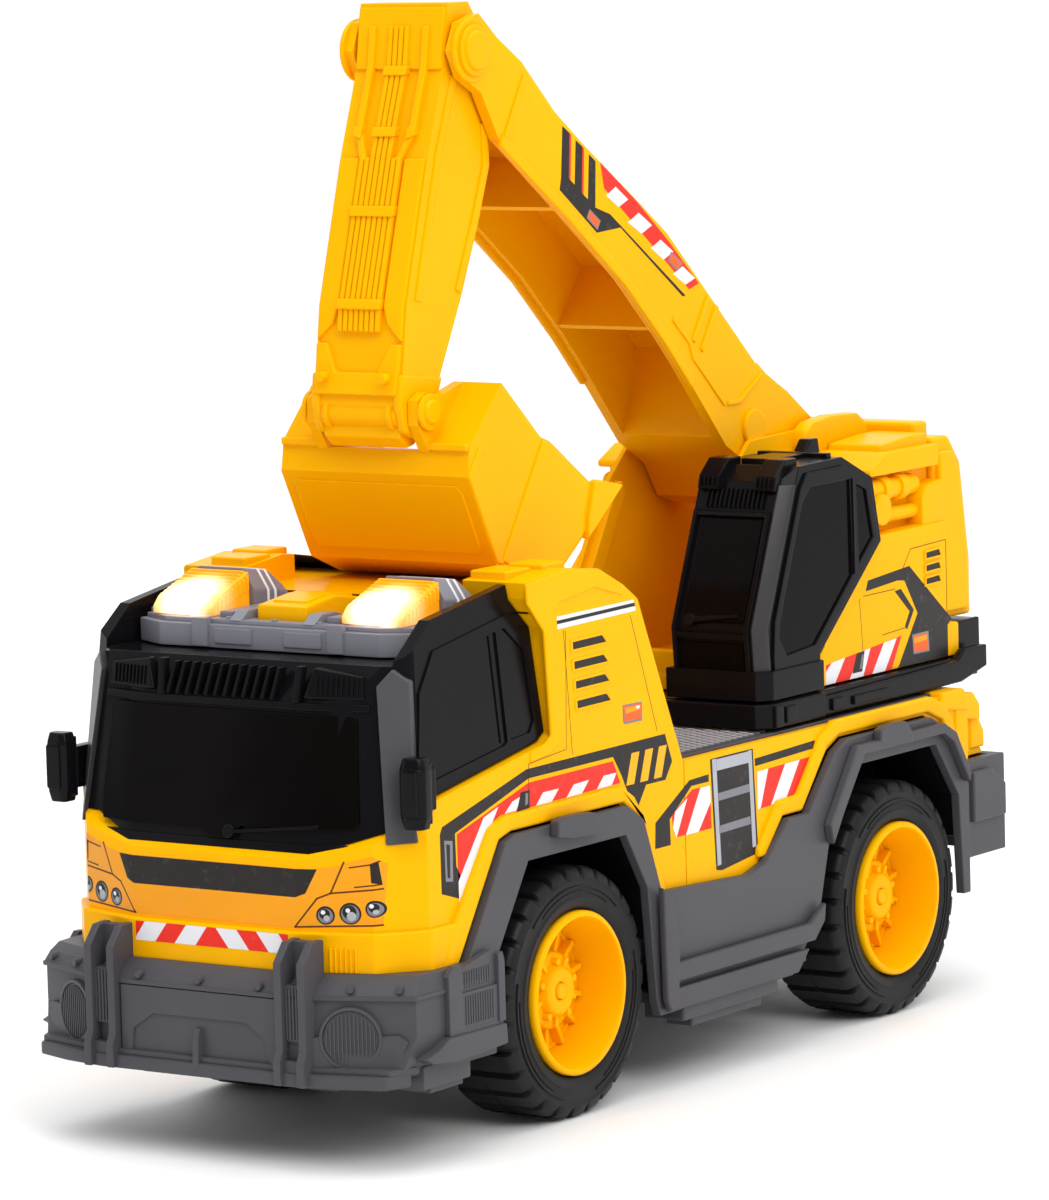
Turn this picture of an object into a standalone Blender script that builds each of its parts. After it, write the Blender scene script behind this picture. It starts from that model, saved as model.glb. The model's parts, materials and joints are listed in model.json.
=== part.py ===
"""A toy lorry with a slewing excavator on its deck: free-rolling wheels, a swivelling
turret, a boom, an arm and a bucket that hold their pose, and a sprung button in the roof.

Lengths in the functions are millimetres. Y runs from the front axle towards the tail,
Z up from the ground, and +X is the driver's side. The whole truck hangs on one empty
that puts the middle of its footprint at the origin.
"""

from math import atan2, cos, pi, sin

import bmesh
import bpy
from mathutils import Matrix, Vector

MM = 0.001

# Driving dimensions
TYRE_RADIUS = 32.0
TYRE_INNER = 31.5
TYRE_OUTER = 55.1
RIM_RADIUS = 20.9
WHEELBASE = 156.0
FRONT_TO_MIDDLE = 66.0      # from the front axle to the middle of the footprint
AXLE_RADIUS = 2.0
CAB_HALF = 53.0
FENDER_HALF = 56.0
DECK_TOP = 84.3
SWIVEL = (0.0, 150.0)
BOOM_PIVOT = (160.0, 146.0)
ELBOW = (18.4, 267.9)
BUCKET_PIVOT = (-5.4, 178.2)
BOOM_HALF = 17.5
ARM_HALF = 13.5
BUCKET_HALF = 29.0
LENS_X = 29.4
BUCKET_SWEEP = 52.0           # half width of the roof recess, clear of the bucket at 30 degrees of swivel
SIDES = (("left", 1), ("right", -1))

for old in list(bpy.data.objects):
    bpy.data.objects.remove(old, do_unlink=True)

truckParts = bpy.data.collections.new("toy_excavator_truck")
tools = bpy.data.collections.new("cutters")
bpy.context.scene.collection.children.link(truckParts)
bpy.context.scene.collection.children.link(tools)

truck = bpy.data.objects.new("truck", None)
truck.location = (0, -FRONT_TO_MIDDLE * MM, 0)
truckParts.objects.link(truck)


def paint(name, color, roughness, metallic=0.0):
    material = bpy.data.materials.new(name)
    material.use_nodes = True
    shader = material.node_tree.nodes["Principled BSDF"]
    shader.inputs["Base Color"].default_value = (*color, 1)
    shader.inputs["Roughness"].default_value = roughness
    shader.inputs["Metallic"].default_value = metallic
    material.diffuse_color = (*color, 1)
    return material


yellow = paint("yellow_plastic", (0.95, 0.50, 0.01), 0.3)
amber = paint("amber_plastic", (0.95, 0.42, 0.02), 0.2)
grey = paint("dark_grey_plastic", (0.09, 0.09, 0.10), 0.45)
paleGrey = paint("pale_grey_plastic", (0.30, 0.31, 0.34), 0.4)
black = paint("gloss_black_plastic", (0.01, 0.01, 0.01), 0.15)
rubber = paint("tyre_black", (0.012, 0.012, 0.012), 0.6)
steel = paint("steel", (0.55, 0.55, 0.56), 0.3, 1.0)
board = paint("circuit_board", (0.02, 0.16, 0.05), 0.4)


# shapes: each function returns a mesh in the truck's millimetres

def mesh_of(bm, name):
    mesh = bpy.data.meshes.new(name)
    bmesh.ops.recalc_face_normals(bm, faces=bm.faces)
    bm.to_mesh(mesh)
    bm.free()
    return mesh


def block(x0, x1, y0, y1, z0, z1):
    bm = bmesh.new()
    bmesh.ops.create_cube(bm, size=1)
    size = Matrix.Diagonal((x1 - x0, y1 - y0, z1 - z0, 1))
    middle = Matrix.Translation(((x0 + x1) / 2, (y0 + y1) / 2, (z0 + z1) / 2))
    bmesh.ops.transform(bm, matrix=middle @ size, verts=bm.verts)
    return mesh_of(bm, "block")


def rod(axis, radius, low, high, a, b, top=None, segments=24):
    """A cylinder along axis from low to high. a and b place it on the other two axes, in order."""
    bm = bmesh.new()
    bmesh.ops.create_cone(bm, cap_ends=True, segments=segments, radius1=radius,
                          radius2=radius if top is None else top, depth=high - low)
    middle = (low + high) / 2
    if axis == "X":
        place = Matrix.Translation((middle, a, b)) @ Matrix.Rotation(pi / 2, 4, "Y")
    elif axis == "Y":
        place = Matrix.Translation((a, middle, b)) @ Matrix.Rotation(-pi / 2, 4, "X")
    else:
        place = Matrix.Translation((a, b, middle))
    bmesh.ops.transform(bm, matrix=place, verts=bm.verts)
    return mesh_of(bm, "rod")


def filled(outline, low, high, place):
    """A flat outline as a filled 2D curve of thickness high - low, turned by place."""
    curve = bpy.data.curves.new("outline", "CURVE")
    curve.dimensions = "2D"
    curve.fill_mode = "BOTH"
    curve.extrude = (high - low) / 2
    spline = curve.splines.new("POLY")
    spline.points.add(len(outline) - 1)
    spline.use_cyclic_u = True
    for point, (u, v) in zip(spline.points, outline):
        point.co = (u, v, 0, 1)
    source = bpy.data.objects.new("outline", curve)
    tools.objects.link(source)
    graph = bpy.context.evaluated_depsgraph_get()
    mesh = bpy.data.meshes.new_from_object(source.evaluated_get(graph))
    bpy.data.objects.remove(source)
    bm = bmesh.new()
    bm.from_mesh(mesh)
    bmesh.ops.remove_doubles(bm, verts=bm.verts, dist=0.001)
    lift = Matrix.Translation((0, 0, (low + high) / 2))
    bmesh.ops.transform(bm, matrix=place @ lift, verts=bm.verts)
    return mesh_of(bm, "outline")


def side_plate(outline, x0, x1):
    """An outline in Y and Z, as seen from the side, from x0 to x1."""
    turn = Matrix(((0, 0, 1, 0), (1, 0, 0, 0), (0, 1, 0, 0), (0, 0, 0, 1)))
    return filled(outline, x0, x1, turn)


def slab(outline, z0, z1):
    """An outline in X and Y, as seen from above, from z0 to z1."""
    return filled(outline, z0, z1, Matrix.Identity(4))


def both_halves(half):
    """A plan outline from its half at +X, which starts on the centre line or ends off it."""
    other = [(-x, y) for x, y in reversed(half) if x > 0]
    return half + other


def loft(low, z0, high, z1):
    """A body between two outlines with as many points each, at heights z0 and z1."""
    bm = bmesh.new()
    bottom = bm.faces.new([bm.verts.new((x, y, z0)) for x, y in low])
    grown = bmesh.ops.extrude_face_region(bm, geom=[bottom])["geom"]
    raised = [item for item in grown if isinstance(item, bmesh.types.BMVert)]
    ends = {(round(a[0], 4), round(a[1], 4)): b for a, b in zip(low, high)}
    for vert in raised:
        x, y = ends[(round(vert.co.x, 4), round(vert.co.y, 4))]
        vert.co = (x, y, z1)
    return mesh_of(bm, "loft")


def turned(profile, side, y, z, steps=32):
    """A closed profile of (radius, x) points turned round a line along X."""
    bm = bmesh.new()
    verts = [bm.verts.new((radius, 0, x)) for radius, x in profile]
    for first, second in zip(verts, verts[1:] + verts[:1]):
        bm.edges.new((first, second))
    mesh = bpy.data.meshes.new("profile")
    bm.to_mesh(mesh)
    bm.free()
    source = bpy.data.objects.new("profile", mesh)
    tools.objects.link(source)
    screw = source.modifiers.new("turn", "SCREW")
    screw.steps = steps
    screw.render_steps = steps
    screw.use_merge_vertices = True
    screw.merge_threshold = 0.0001
    graph = bpy.context.evaluated_depsgraph_get()
    mesh = bpy.data.meshes.new_from_object(source.evaluated_get(graph))
    bpy.data.objects.remove(source)
    bm = bmesh.new()
    bm.from_mesh(mesh)
    place = Matrix.Translation((0, y, z)) @ Matrix.Rotation(side * pi / 2, 4, "Y")
    bmesh.ops.transform(bm, matrix=place, verts=bm.verts)
    return mesh_of(bm, "turned")


# objects

def put(name, mesh, material, pivot=(0, 0, 0), smooth=False):
    """A named sub-part whose origin is at pivot, in the truck's millimetres."""
    mesh.name = name
    mesh.transform(Matrix.Scale(MM, 4) @ Matrix.Translation(-Vector(pivot)))
    mesh.materials.clear()
    mesh.materials.append(material)
    piece = bpy.data.objects.new(name, mesh)
    piece.parent = truck
    piece.location = Vector(pivot) * MM
    truckParts.objects.link(piece)
    if smooth:
        mesh.shade_smooth()
        mesh.set_sharp_from_angle(angle=0.6)
    return piece


def shape(piece, mesh, operation):
    """Adds a Boolean to piece, with mesh as its tool."""
    mesh.transform(Matrix.Scale(MM, 4) @ Matrix.Translation(-piece.location / MM))
    tool = bpy.data.objects.new(piece.name + "_tool", mesh)
    tool.parent = truck
    tool.location = piece.location
    tool.hide_render = True
    tool.display_type = "WIRE"
    tools.objects.link(tool)
    modifier = piece.modifiers.new(operation.lower(), "BOOLEAN")
    modifier.operation = operation
    modifier.object = tool


def cut(piece, *meshes):
    for mesh in meshes:
        shape(piece, mesh, "DIFFERENCE")


def join(piece, *meshes):
    for mesh in meshes:
        shape(piece, mesh, "UNION")


def keep(piece, mesh):
    shape(piece, mesh, "INTERSECT")


# chassis and what it holds

def make_chassis():
    frame = put("chassis_frame", block(-29.5, 29.5, -70, 202, 17, 43), grey)
    cut(frame, block(-27, 27, -67.5, 199.5, 19.5, 60))
    join(frame, block(-28, 28, 58, 60, 19, 40), block(-28, 28, 114, 116, 19, 40))
    for y in (22, 50):
        for x in (-16, 16):
            join(frame, rod("Z", 2.2, 19, 23.7, x, y, segments=12))
    for y in (0, WHEELBASE):
        cut(frame, rod("X", AXLE_RADIUS + 0.15, -35, 35, y, TYRE_RADIUS))
    cut(frame, block(-25.5, 25.5, 73, 107, 10, 30))
    for y in (126, 130, 134, 138):
        cut(frame, block(-7, 7, y, y + 1.6, 10, 30))
    put("sound_board", block(-20, 20, 18, 54, 24, 25.6), board)
    put("speaker", rod("Z", 9, 20, 27, 0, 132.8, top=14), black, smooth=True)


def make_battery_box():
    cradle = put("battery_cradle", block(-26.6, 26.6, 70.5, 109.5, 19.9, 37), black)
    cut(cradle, block(-25.4, 25.4, 74.4, 105.6, 10, 27.6))
    for number, y in enumerate((82.2, 97.8), 1):
        cut(cradle, rod("X", 7.4, -25.4, 25.4, y, 27.6))
        cell = put(f"battery_{number}", rod("X", 7.1, -24, 24, y, 27.6), steel, smooth=True)
        join(cell, rod("X", 2.6, 23, 25.1, y, 27.6, segments=12))
    cover = put("battery_cover", block(-25.2, 25.2, 73.3, 106.7, 17, 19.2), grey)
    cut(cover, rod("Z", 1.6, 10, 30, 0, 90, segments=16))
    screw = put("battery_cover_screw", rod("Z", 3.0, 14.9, 16.7, 0, 90, segments=16), steel)
    join(screw, rod("Z", 1.2, 16, 19, 0, 90, segments=12))


# bodywork

CAB_PLAN = both_halves([(25, -77.5), (44, -71.5), (CAB_HALF, -61), (CAB_HALF, 60)])
CAB_HOLLOW = both_halves([(24, -75), (42.5, -69.3), (50.5, -59.8), (50.5, 51.5)])
ARCH_FRONT = [(-52, 40), (-50.3, 47.1), (-31.8, 75.3), (-27.2, 76.8), (23.2, 76.8),
              (30.9, 72.1), (38.4, 52), (38.4, 40)]
ARCH_REAR = [(100, 40), (100, 62.4), (109.8, 62.4), (123.8, 76.9), (129.9, 79.6), (174.2, 79.6),
             (181.3, 76.4), (188.8, 65.4), (194, 40)]


def make_cab():
    side = [(-81, 46.5), (-81, 73.7), (-72, 78.6), (-58, 88.6), (-8.5, 96.6), (-5.2, 98.8),
            (-7.4, 125.5), (-15.2, 133.4), (-16, 137.6), (1, 139.4), (17, 137.6), (28, 132.3),
            (34.5, 128), (50.6, 91.2), (54, 83.2), (54, 46.5)]
    shell = put("cab_shell", slab(CAB_PLAN, 40, 150), yellow)
    keep(shell, side_plate(side, -70, 70))
    cut(shell, slab(CAB_HOLLOW, 30, 71))
    tower = [(-57, 60), (-57, 86), (-10.5, 93.8), (-2, 96.4), (-4.8, 126), (-12, 129.7),
             (29, 129.7), (33, 125), (48, 89.6), (51.5, 82), (51.5, 60)]
    cut(shell, side_plate(tower, -50.5, 50.5))
    recess = both_halves([(34, -30), (34, 6), (BUCKET_SWEEP, 9), (BUCKET_SWEEP, 60)])
    cut(shell, slab(recess, 132.4, 150))
    for x in (-60, 30.3):
        cut(shell, side_plate(ARCH_FRONT, x, x + 29.7))


SCREEN_LOW = [(28, -75.5), (47.5, -68.5), (52.5, -61.5), (52.5, -2)]
SCREEN_HIGH = [(25, -66.5), (41, -63.5), (48.5, -58), (48.5, -2)]


def screen_plan(height, inset=0.0):
    """The windscreen unit's plan outline at a height: it leans back and narrows upwards."""
    share = (height - 73) / 49
    half = [((1 - share) * x + share * u - inset, (1 - share) * y + share * v + inset)
            for (x, y), (u, v) in zip(SCREEN_LOW, SCREEN_HIGH)]
    back = SCREEN_LOW[-1][1] - 3 * inset
    return both_halves([*half[:-1], (half[-1][0], back)])


def make_windscreen():
    frame = put("windscreen_frame", loft(screen_plan(60), 60, screen_plan(145), 145), black)
    side = [(-85, 74), (-85, 110), (-69.5, 110), (-63, 121.8), (-50, 132), (-16.3, 137),
            (-15.6, 133), (-7.8, 125.3), (-5.6, 99), (-9, 97), (-58, 89), (-72, 79)]
    keep(frame, side_plate(side, -70, 70))
    cut(frame, loft(screen_plan(55, 2.6), 55, screen_plan(118.5, 2.6), 118.5))
    cut(frame, block(-44.6, 44.6, -90, 0, 122, 150))
    for x in (-11, 11):
        join(frame, rod("Z", 1.6, 110.9, 120, x, -24, segments=12))
    cut(frame, rod("Z", 2.0, 110, 125, 0, -31, segments=16))
    for name, side in SIDES:
        inner, outer = sorted((side * 50.9, side * 58.2))
        mirror = put(f"mirror_{name}", block(inner, outer, -70.5, -65, 83.5, 101), black)
        inner, outer = sorted((side * 51.9, side * 56))
        cut(mirror, block(inner, outer, -66.2, -60, 85.5, 99))
        inner, outer = sorted((side * 51.4, side * 53.8))
        join(mirror, block(inner, outer, -67, -57, 90, 94))


def make_light_bar():
    outline = both_halves([(34, -52), (43.9, -47), (43.9, -16.6)])
    bar = put("roof_light_bar", slab(outline, 122.3, 129.3), paleGrey)
    cut(bar, block(-8.1, 8.1, -46.4, -19.6, 110, 140))
    for name, side in SIDES:
        x = side * LENS_X
        cut(bar, rod("Z", 2.9, 110, 140, x, -41, segments=16))
        lens_side = [(-48.5, 129.6), (-48.5, 131.6), (-46, 134), (-32.3, 139.4), (-32.3, 129.6)]
        lens = put(f"beacon_lens_{name}", side_plate(lens_side, x - 9.5, x + 9.5), amber)
        inside = [(-46.5, 120), (-46.5, 131.4), (-34, 136.6), (-34, 120)]
        cut(lens, side_plate(inside, x - 7.7, x + 7.7))
        cap_side = [(-32, 129.6), (-32, 140), (-19, 137.4), (-16.8, 133.5), (-16.8, 129.6)]
        put(f"beacon_cap_{name}", side_plate(cap_side, x - 10.5, x + 10.5), paleGrey)
        led = put(f"led_{name}", rod("Z", 2.5, 122.6, 130.5, x, -41, segments=16), amber)
        join(led, rod("Z", 2.3, 130, 132.2, x, -41, top=1.2, segments=16))
    make_button()


def make_button():
    cap = put("roof_button", block(-7.7, 7.7, -46, -20, 127.6, 133.2), yellow)
    join(cap, rod("Z", 1.6, 114.8, 128, 0, -31, segments=16))
    coil = bpy.data.curves.new("button_spring", "CURVE")
    coil.dimensions = "3D"
    coil.bevel_depth = 0.35 * MM
    coil.bevel_resolution = 2
    coil.use_fill_caps = True
    turns, per_turn = 4, 14
    low, high = 122.7, 127.0
    spline = coil.splines.new("POLY")
    spline.points.add(turns * per_turn)
    for index, point in enumerate(spline.points):
        angle = 2 * pi * index / per_turn
        height = low + (high - low) * index / (turns * per_turn)
        point.co = (3.4 * MM * cos(angle), 3.4 * MM * sin(angle), height * MM, 1)
    spring = bpy.data.objects.new("button_spring", coil)
    spring.parent = truck
    spring.location = (0, -31 * MM, 0)
    coil.materials.append(steel)
    truckParts.objects.link(spring)
    switch = put("switch_board", block(-15, 15, -38, -20, 109, 110.6), board)
    join(switch, block(-3, 3, -34, -28, 110, 112.3))


def make_bumpers():
    outside = both_halves([(43, -83.5), (57, -73), (57.5, -40)])
    inside = both_halves([(41, -79.8), (53.6, -70.8), (53.6, -30)])
    front = put("front_bumper", slab(outside, 17, 46.2), grey)
    cut(front, slab(inside, 10, 44))
    cut(front, slab(both_halves([(40, -76), (49, -69), (49, -30)]), 10, 60))
    for side in (-1, 1):
        for x in (25.2, 31.8):
            inner, outer = sorted((side * (x - 1.6), side * (x + 1.6)))
            rib = [(-81, 17.5), (-88, 21), (-88, 47), (-84, 56), (-79.2, 56), (-79.2, 46), (-81, 44)]
            join(front, side_plate(rib, inner, outer))
    join(front, block(-29.2, 29.2, -81, -70.3, 40, 43.5))
    rear = put("rear_bumper", block(-54.5, 54.5, 194.2, 215.5, 37, 64), grey)
    cut(rear, block(-51, 51, 190, 211.5, 30, 70))
    join(rear, block(-29, 29, 202.4, 213, 38, 42.5))


def make_rear_body():
    body = put("rear_body", block(-CAB_HALF, CAB_HALF, 54.3, 193.8, 48.5, 82), yellow)
    cut(body, block(-50.5, 50.5, 56.8, 191.3, 40, 79.5))
    tail = [(192, 64.4), (192, 82), (196, 82), (205.4, 77.3), (205.8, 70.8), (211, 64.4)]
    join(body, side_plate(tail, -50, 50))
    for x in (-60, 30.3):
        cut(body, side_plate(ARCH_REAR, x, x + 29.7))
    for x in (-CAB_HALF, 50.8):
        join(body, block(x, x + 2.2, 54.3, 190, 80, 83.6))
    cut(body, rod("Z", 9.4, 70, 90, *SWIVEL))
    deck = put("deck_plate", block(-50.4, 50.4, 55, 195, 82.3, DECK_TOP), grey)
    cut(deck, rod("Z", 9.4, 70, 90, *SWIVEL))


def make_skirts():
    outline = [(-49.6, 47.2), (-31.5, 75), (-27, 76.4), (23, 76.4), (30.5, 71.8), (38, 52), (80, 50),
               (88, 52), (100, 62), (110, 62), (124, 76.5), (130, 79.2), (174, 79.2), (181, 76),
               (188.5, 65), (193.4, 58), (193.4, 28), (189.8, 28), (187.8, 56), (176, 71.5),
               (135, 71.5), (119.5, 52), (114, 34), (100, 20), (36, 20), (34.5, 24), (31.4, 54),
               (22, 69), (-22, 69), (-36.6, 47.2)]
    for name, side in SIDES:
        inner, outer = sorted((side * 53.3, side * FENDER_HALF))
        skirt = put(f"side_skirt_{name}", side_plate(outline, inner, outer), grey)
        inner, outer = sorted((side * 29.8, side * 54))
        join(skirt, block(inner, outer, 40, 110, 22, 25))


# running gear

def make_wheels(end, y):
    rim = [(2.3, 38), (2.3, 49), (7, 49), (8, 42.5), (16.3, 42.5), (18.6, 55.7), (RIM_RADIUS, 55.7),
           (RIM_RADIUS, 53.5), (19.9, 52.5), (19.2, 36), (16.6, 36), (16, 40), (8, 40), (7, 38)]
    tyre = [(20.3, 32.5), (20.3, 52.4), (21.3, 53.1), (21.3, 54.6), (24, TYRE_OUTER),
            (30, 54.4), (TYRE_RADIUS, 52.5), (TYRE_RADIUS, 33.8), (30.5, 31.9), (24, TYRE_INNER)]
    centre = (0, y, TYRE_RADIUS)
    put(f"{end}_axle", rod("X", AXLE_RADIUS, -48, 48, y, TYRE_RADIUS), steel, centre, True)
    for name, side in SIDES:
        put(f"rim_{end}_{name}", turned(rim, side, y, TYRE_RADIUS), yellow, centre, True)
        put(f"tyre_{end}_{name}", turned(tyre, side, y, TYRE_RADIUS), rubber, centre, True)


# turret

def make_turret():
    axis = (*SWIVEL, 0)
    plan = both_halves([(46, 100.5), (49, 104), (49, 196), (44, 206), (44, 219.7)])
    base = put("turret_base", slab(plan, 85, 92), black, axis)
    join(base, rod("Z", 9, 74, 86, *SWIVEL))
    join(base, block(-44, 44, 206, 219.7, 90, 101))
    cut(base, rod("Z", 1.4, 60, 84, *SWIVEL, segments=12))
    retainer = put("swivel_retainer", rod("Z", 14, 70.5, 73.7, *SWIVEL), grey, axis)
    cut(retainer, rod("Z", 1.6, 60, 80, *SWIVEL, segments=12))
    screw = put("swivel_screw", rod("Z", 3.2, 68, 70.2, *SWIVEL, segments=16), steel, axis)
    join(screw, rod("Z", 1.1, 69, 82, *SWIVEL, segments=12))

    side = [(130.5, 92.3), (130.5, 101.4), (163, 128.4), (163, 147), (172, 151.5), (199.9, 151.5),
            (199.9, 101.6), (205.7, 101.6), (205.7, 92.3)]
    housing = put("turret_housing", side_plate(side, -46.5, 46.5), yellow, axis)
    cut(housing, block(-18.3, 18.3, 90, 196.5, 97, 200))
    cheek = [(112, 92.3), (112, 120), (126, 143), (142, 157), (190, 158.5), (196.5, 150),
             (196.5, 92.3)]
    for x in (-19.7, 18.2):
        join(housing, side_plate(cheek, x, x + 1.5))
    join(housing, block(-19, 19, 112, 140, 92.3, 97))
    cut(housing, rod("X", 3.2, -30, 30, *BOOM_PIVOT))
    weight = [(200.2, 102), (200.2, 153), (209.5, 153), (215.8, 145), (220, 118), (220, 101.8)]
    put("counterweight", side_plate(weight, -42, 42), yellow, axis)


def make_operator_cab():
    axis = (*SWIVEL, 0)
    side = [(102, 92.3), (100.5, 111.5), (116, 149), (121, 153), (143, 153.5), (158.5, 146.5),
            (162.5, 128.8), (130, 101.8), (130, 92.3)]
    inside = [(104.6, 85), (103.4, 111), (118, 147), (122, 150.3), (142, 150.6), (156, 144.6),
              (159.6, 130), (127.4, 103), (127.4, 85)]
    cab = put("operator_cab", side_plate(side, 20, 48), black, axis)
    cut(cab, side_plate(inside, 22.6, 45.4))
    join(cab, side_plate([(146, 148), (146, 156), (149, 160.5), (153, 160.5), (154, 148)], 24, 27))


# digger

def make_boom():
    outline = [(14.5, 261), (11, 268), (14.5, 275), (22, 277), (30, 270.5), (40.5, 264),
               (55, 250.5), (68.4, 241), (94, 224.3), (107, 215.4), (130.6, 194), (150, 176.5),
               (165.5, 168), (178.7, 159), (172, 149), (168, 139), (160, 137), (152, 140),
               (146, 149), (140, 152.7), (133.4, 156.3), (112.6, 179), (103.7, 188), (85, 205),
               (58.8, 224.1), (29.2, 245), (22, 257)]
    channel = [(-10, 292), (33, 292), (33, 266), (39.5, 261.3), (53.6, 248.3), (67, 238.6),
               (92.4, 222.2), (105.3, 213.2), (128.8, 191.9), (139, 182), (128, 150), (100, 160),
               (20, 225), (-10, 250)]
    centre = (0, *BOOM_PIVOT)
    boom = put("boom", side_plate(outline, -BOOM_HALF, BOOM_HALF), yellow, centre)
    cut(boom, side_plate(channel, -14.4, 14.4))
    for low, high in (((58.8, 225), (70, 238.5)), ((101.5, 190.5), (114.5, 206.5))):
        along = atan2(high[1] - low[1], high[0] - low[0])
        dy, dz = 0.8 * sin(along), -0.8 * cos(along)
        rib = [(low[0] - dy, low[1] - dz), (low[0] + dy, low[1] + dz),
               (high[0] + dy, high[1] + dz), (high[0] - dy, high[1] - dz)]
        join(boom, side_plate(rib, -14.8, 14.8))
    cut(boom, rod("X", 3.2, -30, 30, *BOOM_PIVOT), rod("X", 3.2, -30, 30, *ELBOW))
    put("boom_pin", rod("X", 3.0, -19.6, 19.6, *BOOM_PIVOT), steel, centre, True)


def make_arm():
    outline = [(14, 280), (11.5, 264), (3.8, 243), (-7.7, 204.8), (-9.5, 192), (-11.5, 180),
               (-9, 173.6), (-4, 171.8), (0.5, 174), (3.5, 181.5), (16.5, 205.7), (25, 224),
               (30.6, 238), (30.3, 249), (28.3, 273), (23, 280)]
    hollow = [(16, 260), (6.4, 242), (-4.6, 205), (-5, 196), (40, 196), (40, 260)]
    centre = (0, *ELBOW)
    arm = put("arm", side_plate(outline, -ARM_HALF, ARM_HALF), yellow, centre)
    cut(arm, side_plate(hollow, -11, 11))
    cut(arm, rod("X", 3.2, -30, 30, *ELBOW), rod("X", 2.7, -30, 30, *BUCKET_PIVOT))
    put("elbow_pin", rod("X", 3.0, -17.4, 17.4, *ELBOW), steel, centre, True)
    for name, side in SIDES:
        low, high = sorted((side * 17.8, side * 19.6))
        put(f"elbow_cap_{name}", rod("X", 6.2, low, high, *ELBOW), yellow, centre, True)


def make_bucket():
    outline = [(10.9, 184.4), (-4, 169.6), (-5.2, 162), (6.5, 138.5), (18.8, 133.4), (35.7, 134.3),
               (49, 143.5), (62, 152.6), (50.5, 154.8), (31.7, 167.7), (27.7, 169.1)]
    inside = [(14, 184), (-1.4, 168.8), (-2.7, 162.2), (8.4, 140.3), (19.4, 135.8), (35, 136.6),
              (64, 156.4), (64, 200), (14, 200)]
    ear = [(-9.4, 181.3), (-5.4, 183.2), (0, 181.5), (10.9, 184.4), (11, 181), (-1, 167),
           (-5, 168), (-9.4, 175)]
    centre = (0, *BUCKET_PIVOT)
    bucket = put("bucket", side_plate(outline, -BUCKET_HALF, BUCKET_HALF), yellow, centre)
    cut(bucket, side_plate(inside, -27, 27))
    cut(bucket, block(-14.2, 14.2, -20, 30, 168.3, 200))
    for x in (-17.2, 14.2):
        join(bucket, side_plate(ear, x, x + 3))
    cut(bucket, rod("X", 2.7, -30, 30, *BUCKET_PIVOT))
    put("bucket_pin", rod("X", 2.5, -17.1, 17.1, *BUCKET_PIVOT), steel, centre, True)
    for name, side in SIDES:
        low, high = sorted((side * 17.5, side * 19.3))
        put(f"bucket_cap_{name}", rod("X", 4.0, low, high, *BUCKET_PIVOT), yellow, centre, True)


make_chassis()
make_battery_box()
make_cab()
make_windscreen()
make_light_bar()
make_bumpers()
make_rear_body()
make_skirts()
make_wheels("front", 0)
make_wheels("rear", WHEELBASE)
make_turret()
make_operator_cab()
make_boom()
make_arm()
make_bucket()
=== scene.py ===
import json
from math import atan2, cos, hypot, pi, radians, sin

import bmesh
import bpy
from mathutils import Matrix, Vector


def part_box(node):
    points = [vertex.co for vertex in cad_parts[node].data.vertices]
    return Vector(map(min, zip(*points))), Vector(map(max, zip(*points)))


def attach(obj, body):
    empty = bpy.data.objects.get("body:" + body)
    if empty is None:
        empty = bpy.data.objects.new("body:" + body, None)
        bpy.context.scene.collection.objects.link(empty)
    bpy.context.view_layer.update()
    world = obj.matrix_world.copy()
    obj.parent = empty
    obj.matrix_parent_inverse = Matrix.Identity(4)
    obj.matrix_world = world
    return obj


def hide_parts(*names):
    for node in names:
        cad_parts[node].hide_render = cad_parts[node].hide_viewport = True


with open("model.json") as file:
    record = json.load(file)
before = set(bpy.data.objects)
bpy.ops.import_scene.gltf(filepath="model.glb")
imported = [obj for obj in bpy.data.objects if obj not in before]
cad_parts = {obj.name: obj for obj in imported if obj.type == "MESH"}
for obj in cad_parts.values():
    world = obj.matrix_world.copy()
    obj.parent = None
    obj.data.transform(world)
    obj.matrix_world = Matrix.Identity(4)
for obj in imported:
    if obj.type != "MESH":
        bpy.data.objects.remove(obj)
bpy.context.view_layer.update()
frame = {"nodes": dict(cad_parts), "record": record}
nodes = frame["nodes"]
behaviour = frame["record"]["behaviour"]
bodyOf = {node: body for body, names in behaviour["bodies"].items() for node in names}
slotOf = {part["node"]: part["material_slot"] for part in frame["record"]["subparts"]}

# Drawings are in millimetres: X to the driver's side, Y back from the front axle, Z up from the floor.
low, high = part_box("front_axle")
toWorld = Matrix.Translation((0, (low.y + high.y) / 2, 0)) @ Matrix.Scale(0.001, 4)
toDrawing = toWorld.inverted()
sides = (("left", 1), ("right", -1))


# finishes: an expression on values adds its own nodes

class Value:
    def __init__(self, finish, socket):
        self.finish, self.socket = finish, socket

    def maths(self, operation, *terms):
        return self.finish.node("Math", {"operation": operation}, *terms)

    def __add__(self, other):
        return self.maths("ADD", self, other)

    def __sub__(self, other):
        return self.maths("SUBTRACT", self, other)

    def __rsub__(self, other):
        return self.maths("SUBTRACT", other, self)

    def __mul__(self, other):
        return self.maths("MULTIPLY", self, other)

    def __pow__(self, other):
        return self.maths("POWER", self, other)

    __radd__, __rmul__ = __add__, __mul__


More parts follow.
